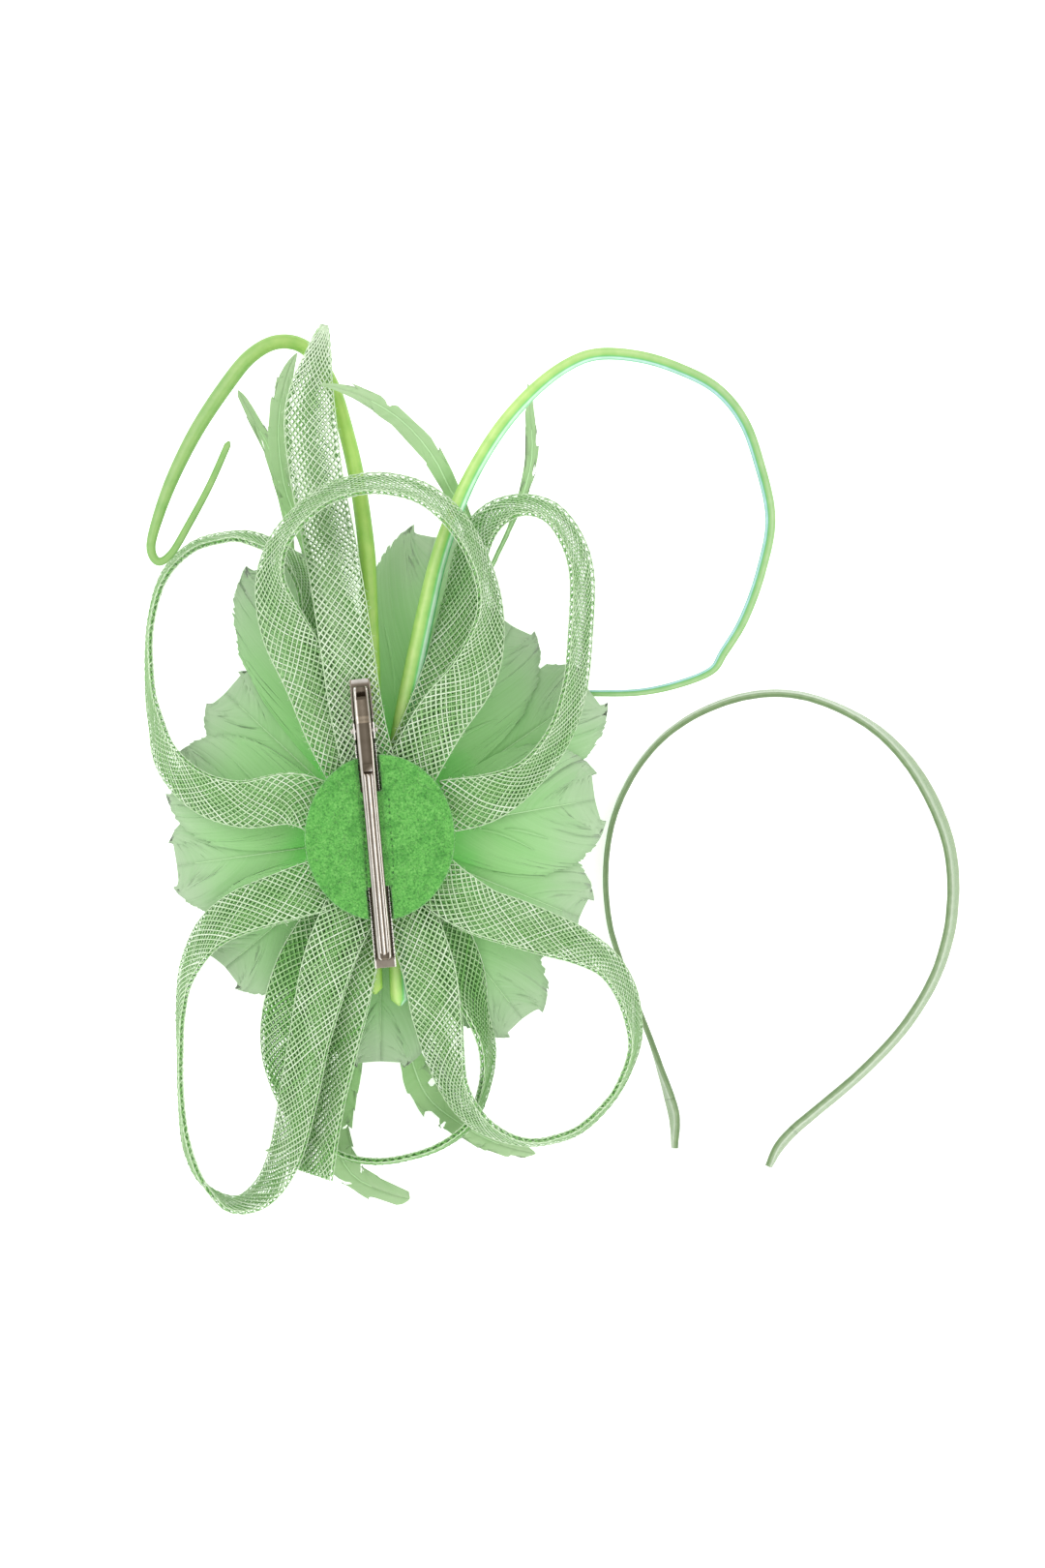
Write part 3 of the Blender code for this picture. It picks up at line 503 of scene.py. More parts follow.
def add_braid(name, route, material, pale=0.0):
    """A bias-woven tube pressed flat: two families of threads winding round it, with corded edges."""
    ribbon = Ribbon(route, BRAID_WIDTH)
    section, girth = braid_section()
    stations = np.linspace(0, ribbon.length, int(ribbon.length / 1.0))
    centre, across, normal, half = ribbon.at(stations)
    scale = half / (BRAID_WIDTH / 2)
    per_family = round(girth * math.cos(THREAD_ANGLE) / THREAD_PITCH)
    turns = np.linspace(0, 1, len(section))
    shape = Shape()
    for family in (1, -1):
        for k in range(per_family):
            start = (k + RNG.uniform(-0.05, 0.05)) / per_family
            drift = 0.002 * np.sin(stations / 23 + RNG.uniform(0, 6))
            u = (start + drift + family * stations * math.tan(THREAD_ANGLE) / girth) % 1
            a, b = (np.interp(u, turns, section[:, i]) for i in (0, 1))
            ahead = (u + 0.01) % 1
            da, db = (np.interp(ahead, turns, section[:, i]) - v for i, v in ((0, a), (1, b)))
            out = unit(across * -db[:, None] + normal * da[:, None])
            lift = 0.07 * family
            points = centre + across * (a * scale)[:, None] + normal * b[:, None] + out * lift
            wide = THREAD_HALF * RNG.uniform(0.8, 1.15)
            tint = np.clip(RNG.normal(0.78, 0.12) + pale + 0.1 * np.sin(stations / 9 + k), 0, 1)
            tint = tint * np.clip(np.abs(b) / 0.5, 0.15, 1)  # painted shade: the groove between the two edge cords is darkened
            # the two corners of each thread that face into the tube get painted shade
            sides = tint[:, None] * np.array((1, 1, INNER_SHADE, INNER_SHADE))[None]
            add_thread(shape, points, out, wide, THREAD_TALL * 1.4, start=math.pi / 4, tint=sides)
    piece = shape.build(name + "_weave", material, replaces=[name])
    edging = Shape()
    add_inner_ply(edging, ribbon, per_family, girth, pale)
    add_corded_edges(edging, stations, centre, across, normal, half)
    add_edge_fuzz(edging, ribbon)
    edges = edging.build(name + "_edging", material)
    return piece


def add_inner_ply(shape, ribbon, per_family, girth, pale):
    """The threads of the ply inside, darkened as painted shade, which close most of the gaps of the outer
    one.
    """
    stations = np.linspace(0, ribbon.length, int(ribbon.length / 1.9))
    centre, across, normal, half = ribbon.at(stations)
    for family in (1, -1):
        for k in range(per_family // 2):
            u = ((k + 0.5) * 2 / per_family + family * stations * math.tan(THREAD_ANGLE) / girth) % 1
            swing = (1 - 4 * np.abs(u - 0.5)) * (half - 0.9)
            points = centre + across * swing[:, None] + normal * (0.05 * family)
            add_thread(shape, points, normal, 0.36, 0.06, tint=RNG.uniform(0.22, 0.40) + pale)


def add_corded_edges(shape, stations, centre, across, normal, half):
    for edge in (-1, 1):
        for face in (-1, 1):
            sway = 0.10 * np.sin(stations * 2.4 + face)[:, None]
            points = centre + across * (edge * (half - 0.20))[:, None] + normal * (face * 0.60 + sway)
            tint = 0.85 + 0.12 * np.sin(stations * 1.9)
            add_thread(shape, points, across * edge, 0.17, 0.16, tint=tint)


def add_edge_fuzz(shape, ribbon):
    for _ in range(int(ribbon.length / 2.2)):
        distance = RNG.uniform(2, ribbon.length - 2)
        centre, across, normal, half = ribbon.at(np.array([distance]))
        edge = RNG.choice((-1, 1))
        start = centre[0] + across[0] * edge * half[0]
        along = np.cross(normal[0], across[0])
        heading = unit(across[0] * edge * RNG.uniform(0.3, 1) + along * RNG.uniform(-1.2, 1.2)
                       + normal[0] * RNG.uniform(-0.4, 0.4))
        bend = unit(RNG.normal(size=3)) * 0.25
        t = np.linspace(-0.3, 1, 4)[:, None] * RNG.uniform(0.5, 1.3)
        points = start + heading * t + bend * t * t
        add_thread(shape, points, np.tile(normal[0], (4, 1)), 0.07, 0.05, sides=4, tint=0.8)


# ---------------------------------------------------------------- feathers
class Spine:
    """A feather's middle line: a ribbon route, or a straight one that leaves the hub and droops."""

    def __init__(self, ribbon, half):
        self.ribbon, self.half = ribbon, half
        self.length = ribbon.length

    def at(self, share):
        return self.ribbon.at(np.clip(share, 0, 1) * self.length)[:3]


def petal_half(share, width):
    """Half width of a broad feather by its share of the way from the root, in millimetres."""
    half = width / 2 * (0.12 + 0.88 * np.sin(np.minimum(1, share / 0.7) * math.pi / 2) ** 1.5)
    return half * np.sqrt(np.maximum(0, 1 - np.maximum(0, (share - 0.62) / 0.40) ** 2.4))


def ragged(count, rng, depth):
    """How far each barb falls short of the outline: clumps of barbs with a ramp inside each one."""
    short, i = np.zeros(count), 0
    while i < count:
        clump = int(rng.integers(2, 8))
        level, ramp = rng.uniform(0, depth), rng.uniform(0, depth * 0.9)
        for j in range(i, min(i + clump, count)):
            short[j] = level + ramp * (j - i) / clump
        i += clump
    return short


def add_feather(name, spine, rng, material, replaces, rows=150, columns=9, lead=0.60, depth=0.06,
                folds=0.14, cup=0.9, strands=2, shaft=0.13, splits=0, along=(0.0, 1.0)):
    """A vane of many barbs that curve forward from a tapered shaft, ragged where they end."""
    shape = Shape()
    phase = rng.uniform(0, 6.3, 4)

    def surface(share, offset, lift=0.0):
        share = np.asarray(share, float)
        centre, across, normal = spine.at(share)
        over = np.maximum(share - 1, 0)[..., None] * spine.length
        tail = tangents(spine.at(np.array([0.97, 1.0]))[0])[1]
        half = np.maximum(spine.half(np.minimum(share, 0.97)), 0.4)
        c = offset / half
        wave = folds * np.minimum(1, share * 2.5) * (
            np.sin(c * 3.1 + share * 2.5 + phase[0]) * 0.5 + np.sin(c * 6.3 - share * 4 + phase[1]) * 0.3
            + np.sin(c * 11 + share * 7 + phase[2]) * 0.14)
        height = wave - cup * c * c * np.minimum(1, share * 1.5) + lift
        return centre + tail * over + across * offset[..., None] + normal * height[..., None]

    t = np.linspace(0, 1, columns)
    for side in (-1, 1):
        root = np.linspace(0.0, 0.96, rows)
        short = ragged(rows, rng, depth)
        end = root + lead * np.sqrt(np.maximum(1 - root, 0))
        end = np.minimum(end, 1.0) * (1 - short * 0.5)
        reach = spine.half(np.minimum(end, 1)) * (1 - short)
        drift = np.zeros((rows, columns))
        cut = np.zeros((rows, columns), bool)
        for place in rng.integers(rows // 4, rows - 6, splits):
            opening = rng.uniform(0.010, 0.022)
            depth_column = int(columns * rng.uniform(0.35, 0.6))
            fan = np.exp(-np.abs(np.arange(rows) - place - 0.5) / 7) * np.sign(np.arange(rows) - place - 0.5)
            drift += fan[:, None] * (np.maximum(0, t - t[depth_column]) ** 1.5)[None] * opening * 2
            cut[place, depth_column:] = True
        share = root[:, None] + (end - root)[:, None] * t[None] ** 1.25 + drift
        offset = side * reach[:, None] * (1 - (1 - t[None]) ** 1.4)
        ridge = 0.012 * np.where(np.arange(rows) % 2, 1, -1)[:, None] * np.ones(columns)[None]
        points = surface(share, offset, ridge)
        streaks = 0.55 + 0.14 * np.sin(np.arange(rows) * 0.13 + phase[3]) + rng.normal(0, 0.13, rows)
        tint = np.clip(streaks[:, None] + rng.normal(0, 0.03, (rows, columns)), 0, 1)
        index = np.arange(rows * columns).reshape(rows, columns)
        quads = grid_faces(index)
        keep = ~cut[:-1, :-1]
        shape.add(points, quads[keep].reshape(-1, 4), tint=tint.ravel(),
                  along=(along[0] + (along[1] - along[0]) * share).ravel())
    for _ in range(strands):
        side, s0 = rng.choice((-1, 1)), rng.uniform(0.30, 0.5)
        s1 = s0 + rng.uniform(0.20, 0.32)
        u = np.linspace(0, 1, 14)
        share = s0 + (s1 - s0) * u
        middle = side * (rng.uniform(0.05, 0.25) + rng.uniform(0.2, 0.5) * u ** 1.5) * spine.half(share)
        swell = np.sin(u * math.pi) ** 0.6
        wide = rng.uniform(0.25, 0.6) * swell + 0.05
        columns_across = np.array([-1, 0, 1])
        offset = middle[:, None] + wide[:, None] * columns_across[None]
        lift = (0.16 + rng.uniform(0.1, 0.5) * swell)[:, None] + 0.08 * (1 - np.abs(columns_across))[None]
        points = surface(np.repeat(share[:, None], 3, 1), offset, lift)
        index = np.arange(14 * 3).reshape(14, 3)
        quads = grid_faces(index)
        shape.add(points, quads.reshape(-1, 4), tint=rng.uniform(0.75, 1.0),
                  along=(along[0] + (along[1] - along[0]) * np.repeat(share, 3)))
    vane = shape.build(name + "_vane", material, replaces=replaces, thickness=0.16)
    share = np.linspace(0.0, 0.86, 30)
    rib = Shape()
    line = surface(share, np.zeros(30), 0.10)
    size = shaft * (1 - share) ** 0.7 + 0.05
    add_thread(rib, line, spine.at(share)[2], size, size * 0.8, sides=8, tint=0.7,
               along=along[0] + (along[1] - along[0]) * share * 0.8)
    rib.build(name + "_shaft", SHAFT)
    return vane


PETAL_ROOT_R = 9.0
BACK_PETALS = [
    ("back_petal_top", 80, 98, 36), ("back_petal_top_left", 112, 94, 40),
    ("back_petal_left_upper", 137, 68, 36), ("back_petal_left", 163, 68, 36),
    ("back_petal_left_lower", 188, 66, 37), ("back_petal_lower_left", 220, 65, 38),
    ("back_petal_bottom", 270, 72, 38), ("back_petal_lower_right", 308, 74, 36),
    ("back_petal_right_lower", 338, 69, 38), ("back_petal_right", 10, 70, 42),
    ("back_petal_right_upper", 35, 82, 36), ("back_petal_upper_right", 58, 80, 36)]
FRONT_PETAL_COUNT, FRONT_PETAL_REACH, FRONT_PETAL_WIDTH = 6, 47, 26
FRONT_PETAL_ROOT, FRONT_PETAL_DROOP = 18.6, 0.01267


def petal_spine(bearing, reach, width, root_z, droop):
    turn = math.radians(bearing)
    rows = []
    for distance in np.linspace(PETAL_ROOT_R, reach, 12):
        z = root_z - droop * (distance - PETAL_ROOT_R) ** 2
        rows.append((distance * math.cos(turn), distance * math.sin(turn), z, 0, width))
    return Spine(Ribbon(rows, steps=3), lambda share: petal_half(np.asarray(share), width))


PLUME_ROUTES = {
    "plume_tall": [
        (-4, 9, 22.8, 0, 2), (-12, 40, 20, 0, 2.5), (-18.9, 73.8, 14, 0, 3), (-24.9, 94.8, 14, 0, 3.6),
        (-30.2, 110.8, 16, 0, 6.4), (-31.6, 128.6, 20, 0, 7), (-28.4, 144.6, 25.2, 0, 5.4),
        (-22.4, 155.6, 25.6, 0, 2)],
    "plume_pointed": [
        (-6, 8, 22.8, 0, 2), (-18, 40, 19.5, 0, 2.2), (-26, 75, 12.5, 0, 2.5), (-29, 98, 11.5, 0, 2.8),
        (-33.9, 118.5, 11.5, 0, 4.4), (-38.5, 128, 11.5, 0, 4), (-47, 144, 11.5, 0, 0.8)],
    "plume_arched": [
        (1, 10, 22.8, 0, 2), (9, 40, 20, 0, 2.4), (18, 68, 11, 0, 3), (25, 82, 9.5, 0, 3.4),
        (28.4, 93, 9.5, 0, 4),
        (26.4, 101, 14.5, 0, 5), (21.8, 107.5, 22, 0, 6), (16.6, 117.6, 29.5, 0, 7), (7.8, 128, 35, 0, 6.4),
        (-3.9, 135.6, 40, 0, 5.6), (-15.9, 139.6, 43, 0, 5), (-26, 139.8, 44, 0, 4)],
    "plume_right": [
        (4, 9, 22.8, 0, 2), (18, 42, 20.5, 0, 2), (31, 76, 13, 0, 1.6), (39.6, 94.8, 13, 0, 1.6),
        (44.6, 107.4, 14.5, 0, 3.2), (47.1, 119, 14, 0, 4.4), (46.4, 132, 13.5, 0, 3),
        (45.3, 147, 13, 0, 0.8)],
    "plume_lower_left": [
        (-4, -9, 22.8, 0, 2), (-12, -45, 18, 0, 2.4), (-17, -72, 10, 0, 3), (-19.5, -84, 4, 0, 3.4),
        (-25, -92.5, 2.2, 0, 4), (-31.5, -96.6, 2, 0, 3.4), (-40.4, -98.2, 2, 0, 0.8)],
    "plume_bottom": [
        (-1, -10, 22.8, 0, 2), (-3, -42, 19.6, 0, 2.4), (-6, -62, 15.5, 0, 4), (-10, -78, 9, 0, 7),
        (-14, -93, 2.2, 0, 10), (-9, -105, 1.1, 0, 10), (3, -111, 1.1, 0, 7), (14, -113.6, 1.1, 0, 1)],
    "plume_lower_right": [
        (3, -9, 22.8, 0, 2), (5, -42, 19.6, 0, 3), (8, -62, 16, 0, 7), (13.5, -79, 8.5, 0, 11),
        (23.1, -88, 3.4, 0, 9.5), (37, -95.6, 2.4, 0, 7.4), (53, -99.6, 2, 0, 1)],
}


def plume_spine(route):
    ribbon = Ribbon(route, steps=8)
    return Spine(ribbon, lambda share: np.maximum(
        ribbon.at(np.clip(np.asarray(share), 0, 1) * ribbon.length)[3], 0.35))


# ---------------------------------------------------------------- stripped quills
QUILL_ROUTES = {
    "quill_left": [
        (-1.5, -48.6, 33, 2.3), (-2.2, -25, 33, 2.35), (-2.5, 0, 33, 2.35), (-2.2, 22.8, 33, 2.35),
        (-2.4, 49.8, 32, 2.4), (-3.2, 70.8, 31, 2.45), (-4.2, 88.8, 30, 2.5), (-6.8, 108.6, 28, 2.4),
        (-10.3, 124.6, 25.5, 2.3), (-15.3, 140.6, 23, 2.2), (-22.8, 151.4, 22, 2.2),
        (-31.6, 153.6, 22.5, 2.2), (-40.2, 149.2, 23, 2.25), (-48, 139.8, 23.5, 2.3),
        (-56.7, 126.6, 24, 2.2), (-63.6, 113.1, 24.5, 2.0), (-68.4, 100.8, 25, 1.7),
        (-71.1, 90.3, 25, 1.4), (-69, 85.5, 25, 1.25), (-64.8, 87.9, 25.5, 1.15),
        (-59.4, 96.9, 26, 1.1), (-52.8, 109.2, 26.5, 1.05), (-46.8, 122.7, 27, 1)],
    "quill_right": [
        (6.2, -52.2, 32.5, 2.9), (5, -28.2, 32.5, 2.7), (3.6, 0, 32.5, 2.7), (4.6, 19.8, 32.5, 2.8),
        (6.8, 34.8, 32.1, 2.9), (10.5, 52.8, 31.2, 2.9), (14.4, 70.8, 31.2, 2.8), (18, 85.8, 30.8, 2.6),
        (22.8, 99.8, 30, 2.4), (29.4, 114.2, 28, 2.2), (38.2, 128, 26.5, 2.1), (48.4, 139.2, 25, 2),
        (58.4, 146.6, 24, 1.9), (67.8, 149.8, 23, 1.85), (80.4, 149, 22, 1.8),
        (92.4, 145.4, 21, 1.75), (104, 139.4, 20, 1.7), (112.2, 130, 19, 1.65),
        (117.2, 117.3, 18, 1.6), (121.1, 99.3, 16, 1.55), (118.2, 82.6, 14.5, 1.5),
        (112.8, 67.6, 13, 1.45), (106.6, 57.3, 12, 1.35), (102.6, 51.6, 11.5, 1.2),
        (92.1, 47.4, 11, 1.15), (80.1, 45, 10.5, 1.05), (65.7, 44.7, 10, 0.95), (57.6, 45, 9.5, 0.9)],
}


def add_quill(name, route, material, sides=24):
    """A tapered quill, slightly flattened, with a groove along it and a rounded butt."""
    curve = smooth_route(route, 12)
    centre, radius = curve[:, :3] + HUB, curve[:, 3].copy()
    place = np.concatenate([[0], np.cumsum(np.linalg.norm(np.diff(centre, axis=0), axis=1))])
    start, end = place, place[-1] - place
    radius *= np.sqrt(1 - np.clip(1 - start / radius[0], 0, 1) ** 2 * 0.97)
    radius *= np.sqrt(1 - np.clip(1 - end / 1.5, 0, 1) ** 2 * 0.9)
    along = tangents(centre)
    side = unit(np.cross(along, (0, 0, 1)))
    up = np.cross(side, along)
    angles = np.arange(sides) * 2 * math.pi / sides
    groove = 1 - 0.10 * np.exp(-((angles - 0.40 * math.pi) / 0.16) ** 2)
    groove = groove - 0.05 * np.exp(-((angles - 0.75 * math.pi) / 0.12) ** 2)
    rings = (centre[:, None] + radius[:, None, None] * groove[None, :, None] * (
        np.cos(angles)[None, :, None] * side[:, None] * 1.04
        + np.sin(angles)[None, :, None] * up[:, None] * 0.93))
    count = len(centre)
    around = np.where(angles <= math.pi, angles, 2 * math.pi - angles) / (2 * math.pi)
    streak = 0.5 + 0.4 * np.sin(angles * 9)
    shape = Shape()
    shape.add(rings.reshape(-1, 3), tube_faces(count, sides),
              around=np.tile(around, count), tint=np.tile(streak, count),
              along=np.repeat(np.linspace(0, 1, count), sides))
    return shape.build(name + "_stem", material, replaces=[name])


# ---------------------------------------------------------------- felt
def evaluated_mesh(piece):
    graph = bpy.context.evaluated_depsgraph_get()
    return bpy.data.meshes.new_from_object(piece.evaluated_get(graph))


def felted(node, name, voxel, material, lump=0.10):
    """The CAD disc as matted wool: rounded edges and an uneven surface."""
    work = bpy.data.objects.new(name + "_work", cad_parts[node].data.copy())
    bpy.context.scene.collection.objects.link(work)
    remesh = work.modifiers.new("remesh", "REMESH")
    remesh.mode, remesh.voxel_size = "VOXEL", voxel * MM
    smooth = work.modifiers.new("smooth", "SMOOTH")
    smooth.factor, smooth.iterations = 0.5, 3
    mesh = evaluated_mesh(work)
    bpy.data.objects.remove(work)
    mesh.materials.clear()
    count = len(mesh.vertices)
    places, normals = np.zeros(count * 3), np.zeros(count * 3)
    mesh.vertices.foreach_get("co", places)
    mesh.vertices.foreach_get("normal", normals)
    places = places.reshape(-1, 3)
    lumpy = np.array([noise.fractal(p * 0.55, 1.0, 2.0, 3) + noise.noise(p * 2.6) * 0.5
                      for p in map(Vector, places / MM)]) * lump * MM
    mesh.vertices.foreach_set("co", (places + normals.reshape(-1, 3) * lumpy[:, None]).ravel())
    piece = finish_piece(name, mesh, material, "fascinator", [node])
    return piece


def add_fibres(name, piece, count, material, length=(0.6, 1.8), stand=0.35):
    """Loose short fibres lying over the felt."""
    mesh = piece.data
    mesh.calc_loop_triangles()
    corners = np.array([[mesh.vertices[i].co[:] for i in t.vertices] for t in mesh.loop_triangles])
    cross = np.cross(corners[:, 1] - corners[:, 0], corners[:, 2] - corners[:, 0])
    area = np.linalg.norm(cross, axis=1)
    picks = RNG.choice(len(area), count, p=area / area.sum())
    shape = Shape()
    for pick in picks:
        weight = RNG.dirichlet((1, 1, 1))
        start = weight @ corners[pick] / MM
        out = cross[pick] / max(area[pick], 1e-15)
        heading = unit(np.cross(out, RNG.normal(size=3)))
        heading = unit(heading + out * RNG.uniform(-0.05, stand))
        t = np.linspace(0, 1, 4)[:, None] * RNG.uniform(*length)
        curl = np.cross(out, heading) * RNG.uniform(-0.5, 0.5)
        points = start + out * 0.03 + heading * t + curl * t * t
        add_thread(shape, points, np.tile(out, (4, 1)), 0.045, 0.035, sides=4, tint=RNG.uniform(0, 1))
    return shape.build(name, material)


def add_stitches(material):
    """Two rows of stitches that hold the felt tongue over the clip."""
    rows = [[(2.8, 12.5), (3.3, 4), (4.2, -8), (3.7, -16.5)],
            [(-5.6, 11.5), (-4.9, 0), (-4.2, -12), (-3.9, -17)]]
    top = 47.4
    shape = Shape()
    for row in rows:
        line = smooth_route(row, 12)
        place = np.concatenate([[0], np.cumsum(np.linalg.norm(np.diff(line, axis=0), axis=1))])
        for start in np.arange(0.4, place[-1] - 1.2, 2.05):
            share = np.linspace(0, 1, 6)
            xy = np.stack([np.interp(start + 0.85 * share, place, line[:, i]) for i in (0, 1)], 1)
            z = top - 0.22 + 0.26 * np.sin(share * math.pi)
            points = np.column_stack([xy, z]) + HUB
            add_thread(shape, points, np.tile((0, 0, 1.0), (6, 1)), 0.26, 0.2, sides=6,
                       tint=RNG.uniform(0, 1))
    return shape.build("felt_stitching", material)


# ---------------------------------------------------------------- sprung clip
CLIP_TURN = math.radians(5.2)
CLIP_PIVOT = np.array((-4.8, 33.0, 48.6))
CLIP_TIP, METAL = -73.5, 0.5
JAW_TALL, JAW_FLOOR = 1.6, -4.0
ARM_TALL = 1.3


def clip_place(points):
    """From the clip's own frame, pivot at the origin and levers at +Y, to the row frame."""
    points = np.asarray(points, float)
    c, s = math.cos(CLIP_TURN), math.sin(CLIP_TURN)
    turn = np.array([[c, -s, 0], [s, c, 0], [0, 0, 1]])
    return points @ turn.T + CLIP_PIVOT + HUB


def rounded_channel(half, tall, metal, radius, steps=5):
    """Outer then inner outline of a channel that opens down: x and z, its top at z 0."""
    def side(h, t, r, top):
        bend = np.linspace(0, math.pi / 2, steps)
        corner = np.stack([h - r + r * np.sin(bend), top - r + r * np.cos(bend)], 1)
        flat = np.stack([np.linspace(0, h - r, 12)[:-1], np.full(11, top)], 1)
        return np.vstack([flat, corner, [(h, -t * 0.6), (h, -t)]])
    outer = side(half, tall, radius, 0)
    inner = side(half - metal, tall, max(radius - metal, 0.1), -metal)
    outer = np.vstack([outer[::-1] * (-1, 1), outer[1:]])
    inner = np.vstack([inner[::-1] * (-1, 1), inner[1:]])
    return outer, inner


def add_pressing(shape, stations, paint_light, flip=1, radius=0.55):
    """A pressed channel swept along Y. Stations are y, z, half width and wall height."""
    rings, worn = [], []
    for y, z, half, tall in stations:
        outer, inner = rounded_channel(half, tall, METAL, min(radius, half * 0.6))
        ring = np.vstack([outer, inner[::-1]])
        rings.append(np.column_stack([ring[:, 0], np.full(len(ring), y), z + flip * ring[:, 1]]))
        # painted light, from the given function, on the outer then the inner walls
        worn.append(paint_light(y, outer[:, 0] / half, outer[:, 1] / tall, False))
        worn.append(paint_light(y, inner[:, 0] / half, inner[:, 1] / tall, True)[::-1])
    sides = len(rings[0])
    count = len(rings)
    half_ring = sides // 2
    caps = []
    for i in range(half_ring - 1):
        a, b, c, d = i, i + 1, sides - 2 - i, sides - 1 - i
        caps += [(a, b, c, d), tuple(q + (count - 1) * sides for q in (d, c, b, a))]
    shape.add(clip_place(np.vstack(rings)), np.concatenate([tube_walls(count, sides), np.array(caps)]),
              worn=np.concatenate(worn))


def lever_painted_light(y, across, down, inside):
    """Painted light on the upper jaw: painted highlights on its shoulders, its flat top painted dull."""
    if inside:
        return np.full(len(across), 0.1)
    top = np.interp(across, (-0.97, -0.88, -0.70, -0.50, 0.10, 0.66, 0.78, 0.90),
                    (0.2, 0.8, 0.9, 0.16, 0.30, 0.05, 0.8, 0.6))
    return np.where(down < -0.5, 0.1, top)


def jaw_painted_light(y, across, down, inside):
    """Painted light on the lower jaw: painted shade inside, painted highlights at the tooth tips and at both
    ends.
    """
    floor = np.interp(y, (CLIP_TIP + 2.5, CLIP_TIP + 3.5, 3, 14, 15.2), (0.5, 0.0, 0.0, 0.25, 0.8))
    value = np.full(len(across), floor if inside else 0.3)
    return np.where(down < -0.95, np.interp(y, (CLIP_TIP, 3, 5), (0.95, 0.95, 0.5)), value)


def interpolated(rows, step):
    rows = np.asarray(sorted(rows), float)
    ys = np.linspace(rows[0, 0], rows[-1, 0], int((rows[-1, 0] - rows[0, 0]) / step) + 1)
    return [(y, *[np.interp(y, rows[:, 0], rows[:, i]) for i in range(1, rows.shape[1])]) for y in ys]


def cutter_object(name, points_low, points_high):
    """A block in the clip's frame, used to cut a window and then removed."""
    low, high = np.array(points_low, float), np.array(points_high, float)
    work = bmesh.new()
    bmesh.ops.create_cube(work, size=1)
    for vertex in work.verts:
        share = np.array(vertex.co) + 0.5
        vertex.co = Vector(clip_place((low + (high - low) * share)[None])[0] * MM)
    mesh = bpy.data.meshes.new(name)
    work.to_mesh(mesh)
    work.free()
    cutter = bpy.data.objects.new(name, mesh)
    bpy.context.scene.collection.objects.link(cutter)
    return cutter


def cut_windows(piece, windows):
    cutters = []
    for i, (low, high) in enumerate(windows):
        cutter = cutter_object(f"{piece.name}_window_{i}", low, high)
        cut = piece.modifiers.new(f"window_{i}", "BOOLEAN")
        cut.operation, cut.solver, cut.object = "DIFFERENCE", "EXACT", cutter
        cutters.append(cutter)
    mesh = evaluated_mesh(piece)
    piece.modifiers.clear()
    piece.data = mesh
    for cutter in cutters:
        bpy.data.objects.remove(cutter)


def build_clip(nickel):
    lower = Shape()
    teeth = []
    for y, z, half, tall in interpolated([
            (CLIP_TIP, JAW_FLOOR, 3.3, 2.4), (CLIP_TIP + 2.6, JAW_FLOOR, 3.3, 2.4),
            (CLIP_TIP + 3.2, JAW_FLOOR, 3.3, JAW_TALL + 0.35), (-4.2, JAW_FLOOR, 3.3, JAW_TALL + 0.35),
            (-2.6, JAW_FLOOR, 3.3, 5.2), (2.4, JAW_FLOOR, 3.3, 5.2), (3.6, JAW_FLOOR, 3.3, 2.0),
            (15.0, JAW_FLOOR - 0.1, 3.15, 1.6), (16.0, JAW_FLOOR - 0.1, 3.0, 1.5)], 0.21):
        if CLIP_TIP + 3.2 < y < -4.6:
            tall -= 0.5 * (0.5 + 0.5 * math.cos(2 * math.pi * y / 1.26)) ** 0.5
        teeth.append((y, z, half, tall))
    add_pressing(lower, teeth, jaw_painted_light, flip=-1, radius=0.6)
    for side in (-1, 1):
        add_lathe(lower, (side * 3.3, 0, 0), side, [(0.0, 1.15), (0.18, 1.2), (0.34, 1.0), (0.4, 0.62)])
    base = lower.build("clip_lower_pressing", nickel, replaces=["clip_lower_jaw"])
    cut_windows(base, [((-1.2, 12.2, -6), (1.2, 13.4, -2))])

    upper = Shape()
    stations = interpolated([
        (CLIP_TIP + 2.4, -0.15, 1.55, 0.6), (CLIP_TIP + 2.7, 0.02, 1.9, 0.9),
        (CLIP_TIP + 3.4, 0.1, 2.15, 1.2), (CLIP_TIP + 6, 0.1, 2.25, ARM_TALL), (-26, 0.25, 2.25, ARM_TALL),
        (-14, 0.6, 2.35, 1.4), (-5, 0.9, 2.5, 1.5), (-2.4, 1.5, 2.5, 2.6), (2.2, 1.65, 2.45, 2.6),
        (4, 2.9, 2.45, 1.6), (11.4, 6.1, 2.35, 1.3), (12.7, 6.68, 2.3, 1.2), (13.2, 6.7, 2.2, 1.2),
        (13.6, 6.45, 2.05, 1.0)], 0.5)
    add_pressing(upper, stations, lever_painted_light, radius=0.75)
    lever = upper.build("clip_upper_pressing", nickel, "clip_lever", ["clip_upper_jaw"])
    cut_windows(lever, [((-1.45, -12.7, -3), (1.45, -10.3, 4)), ((-1.5, 9.6, 2), (1.5, 10.2, 8))])
    add_leaf_spring(nickel)

    pin = Shape()
    for side in (-1, 1):
        add_lathe(pin, (0, 0, 0), side, [(0.0, 0.6), (3.3, 0.6), (3.72, 0.62), (3.74, 1.0), (3.95, 1.02),
                                         (4.15, 0.85), (4.28, 0.5), (4.32, 0.05)])
    pin.build("clip_rivet_pin", nickel, replaces=["clip_pivot_pin"])


def add_lathe(shape, centre, side, profile, sides=20):
    """A turned form about the clip's X: profile is distance out and radius."""
    angles = np.arange(sides) * 2 * math.pi / sides
    rings = [np.column_stack([np.full(sides, centre[0] + side * out), centre[1] + radius * np.cos(angles),
                              centre[2] + radius * np.sin(angles)]) for out, radius in profile]
    count = len(rings)
    # the turned parts get a painted highlight
    shape.add(clip_place(np.vstack(rings)), tube_faces(count, sides), worn=0.8)


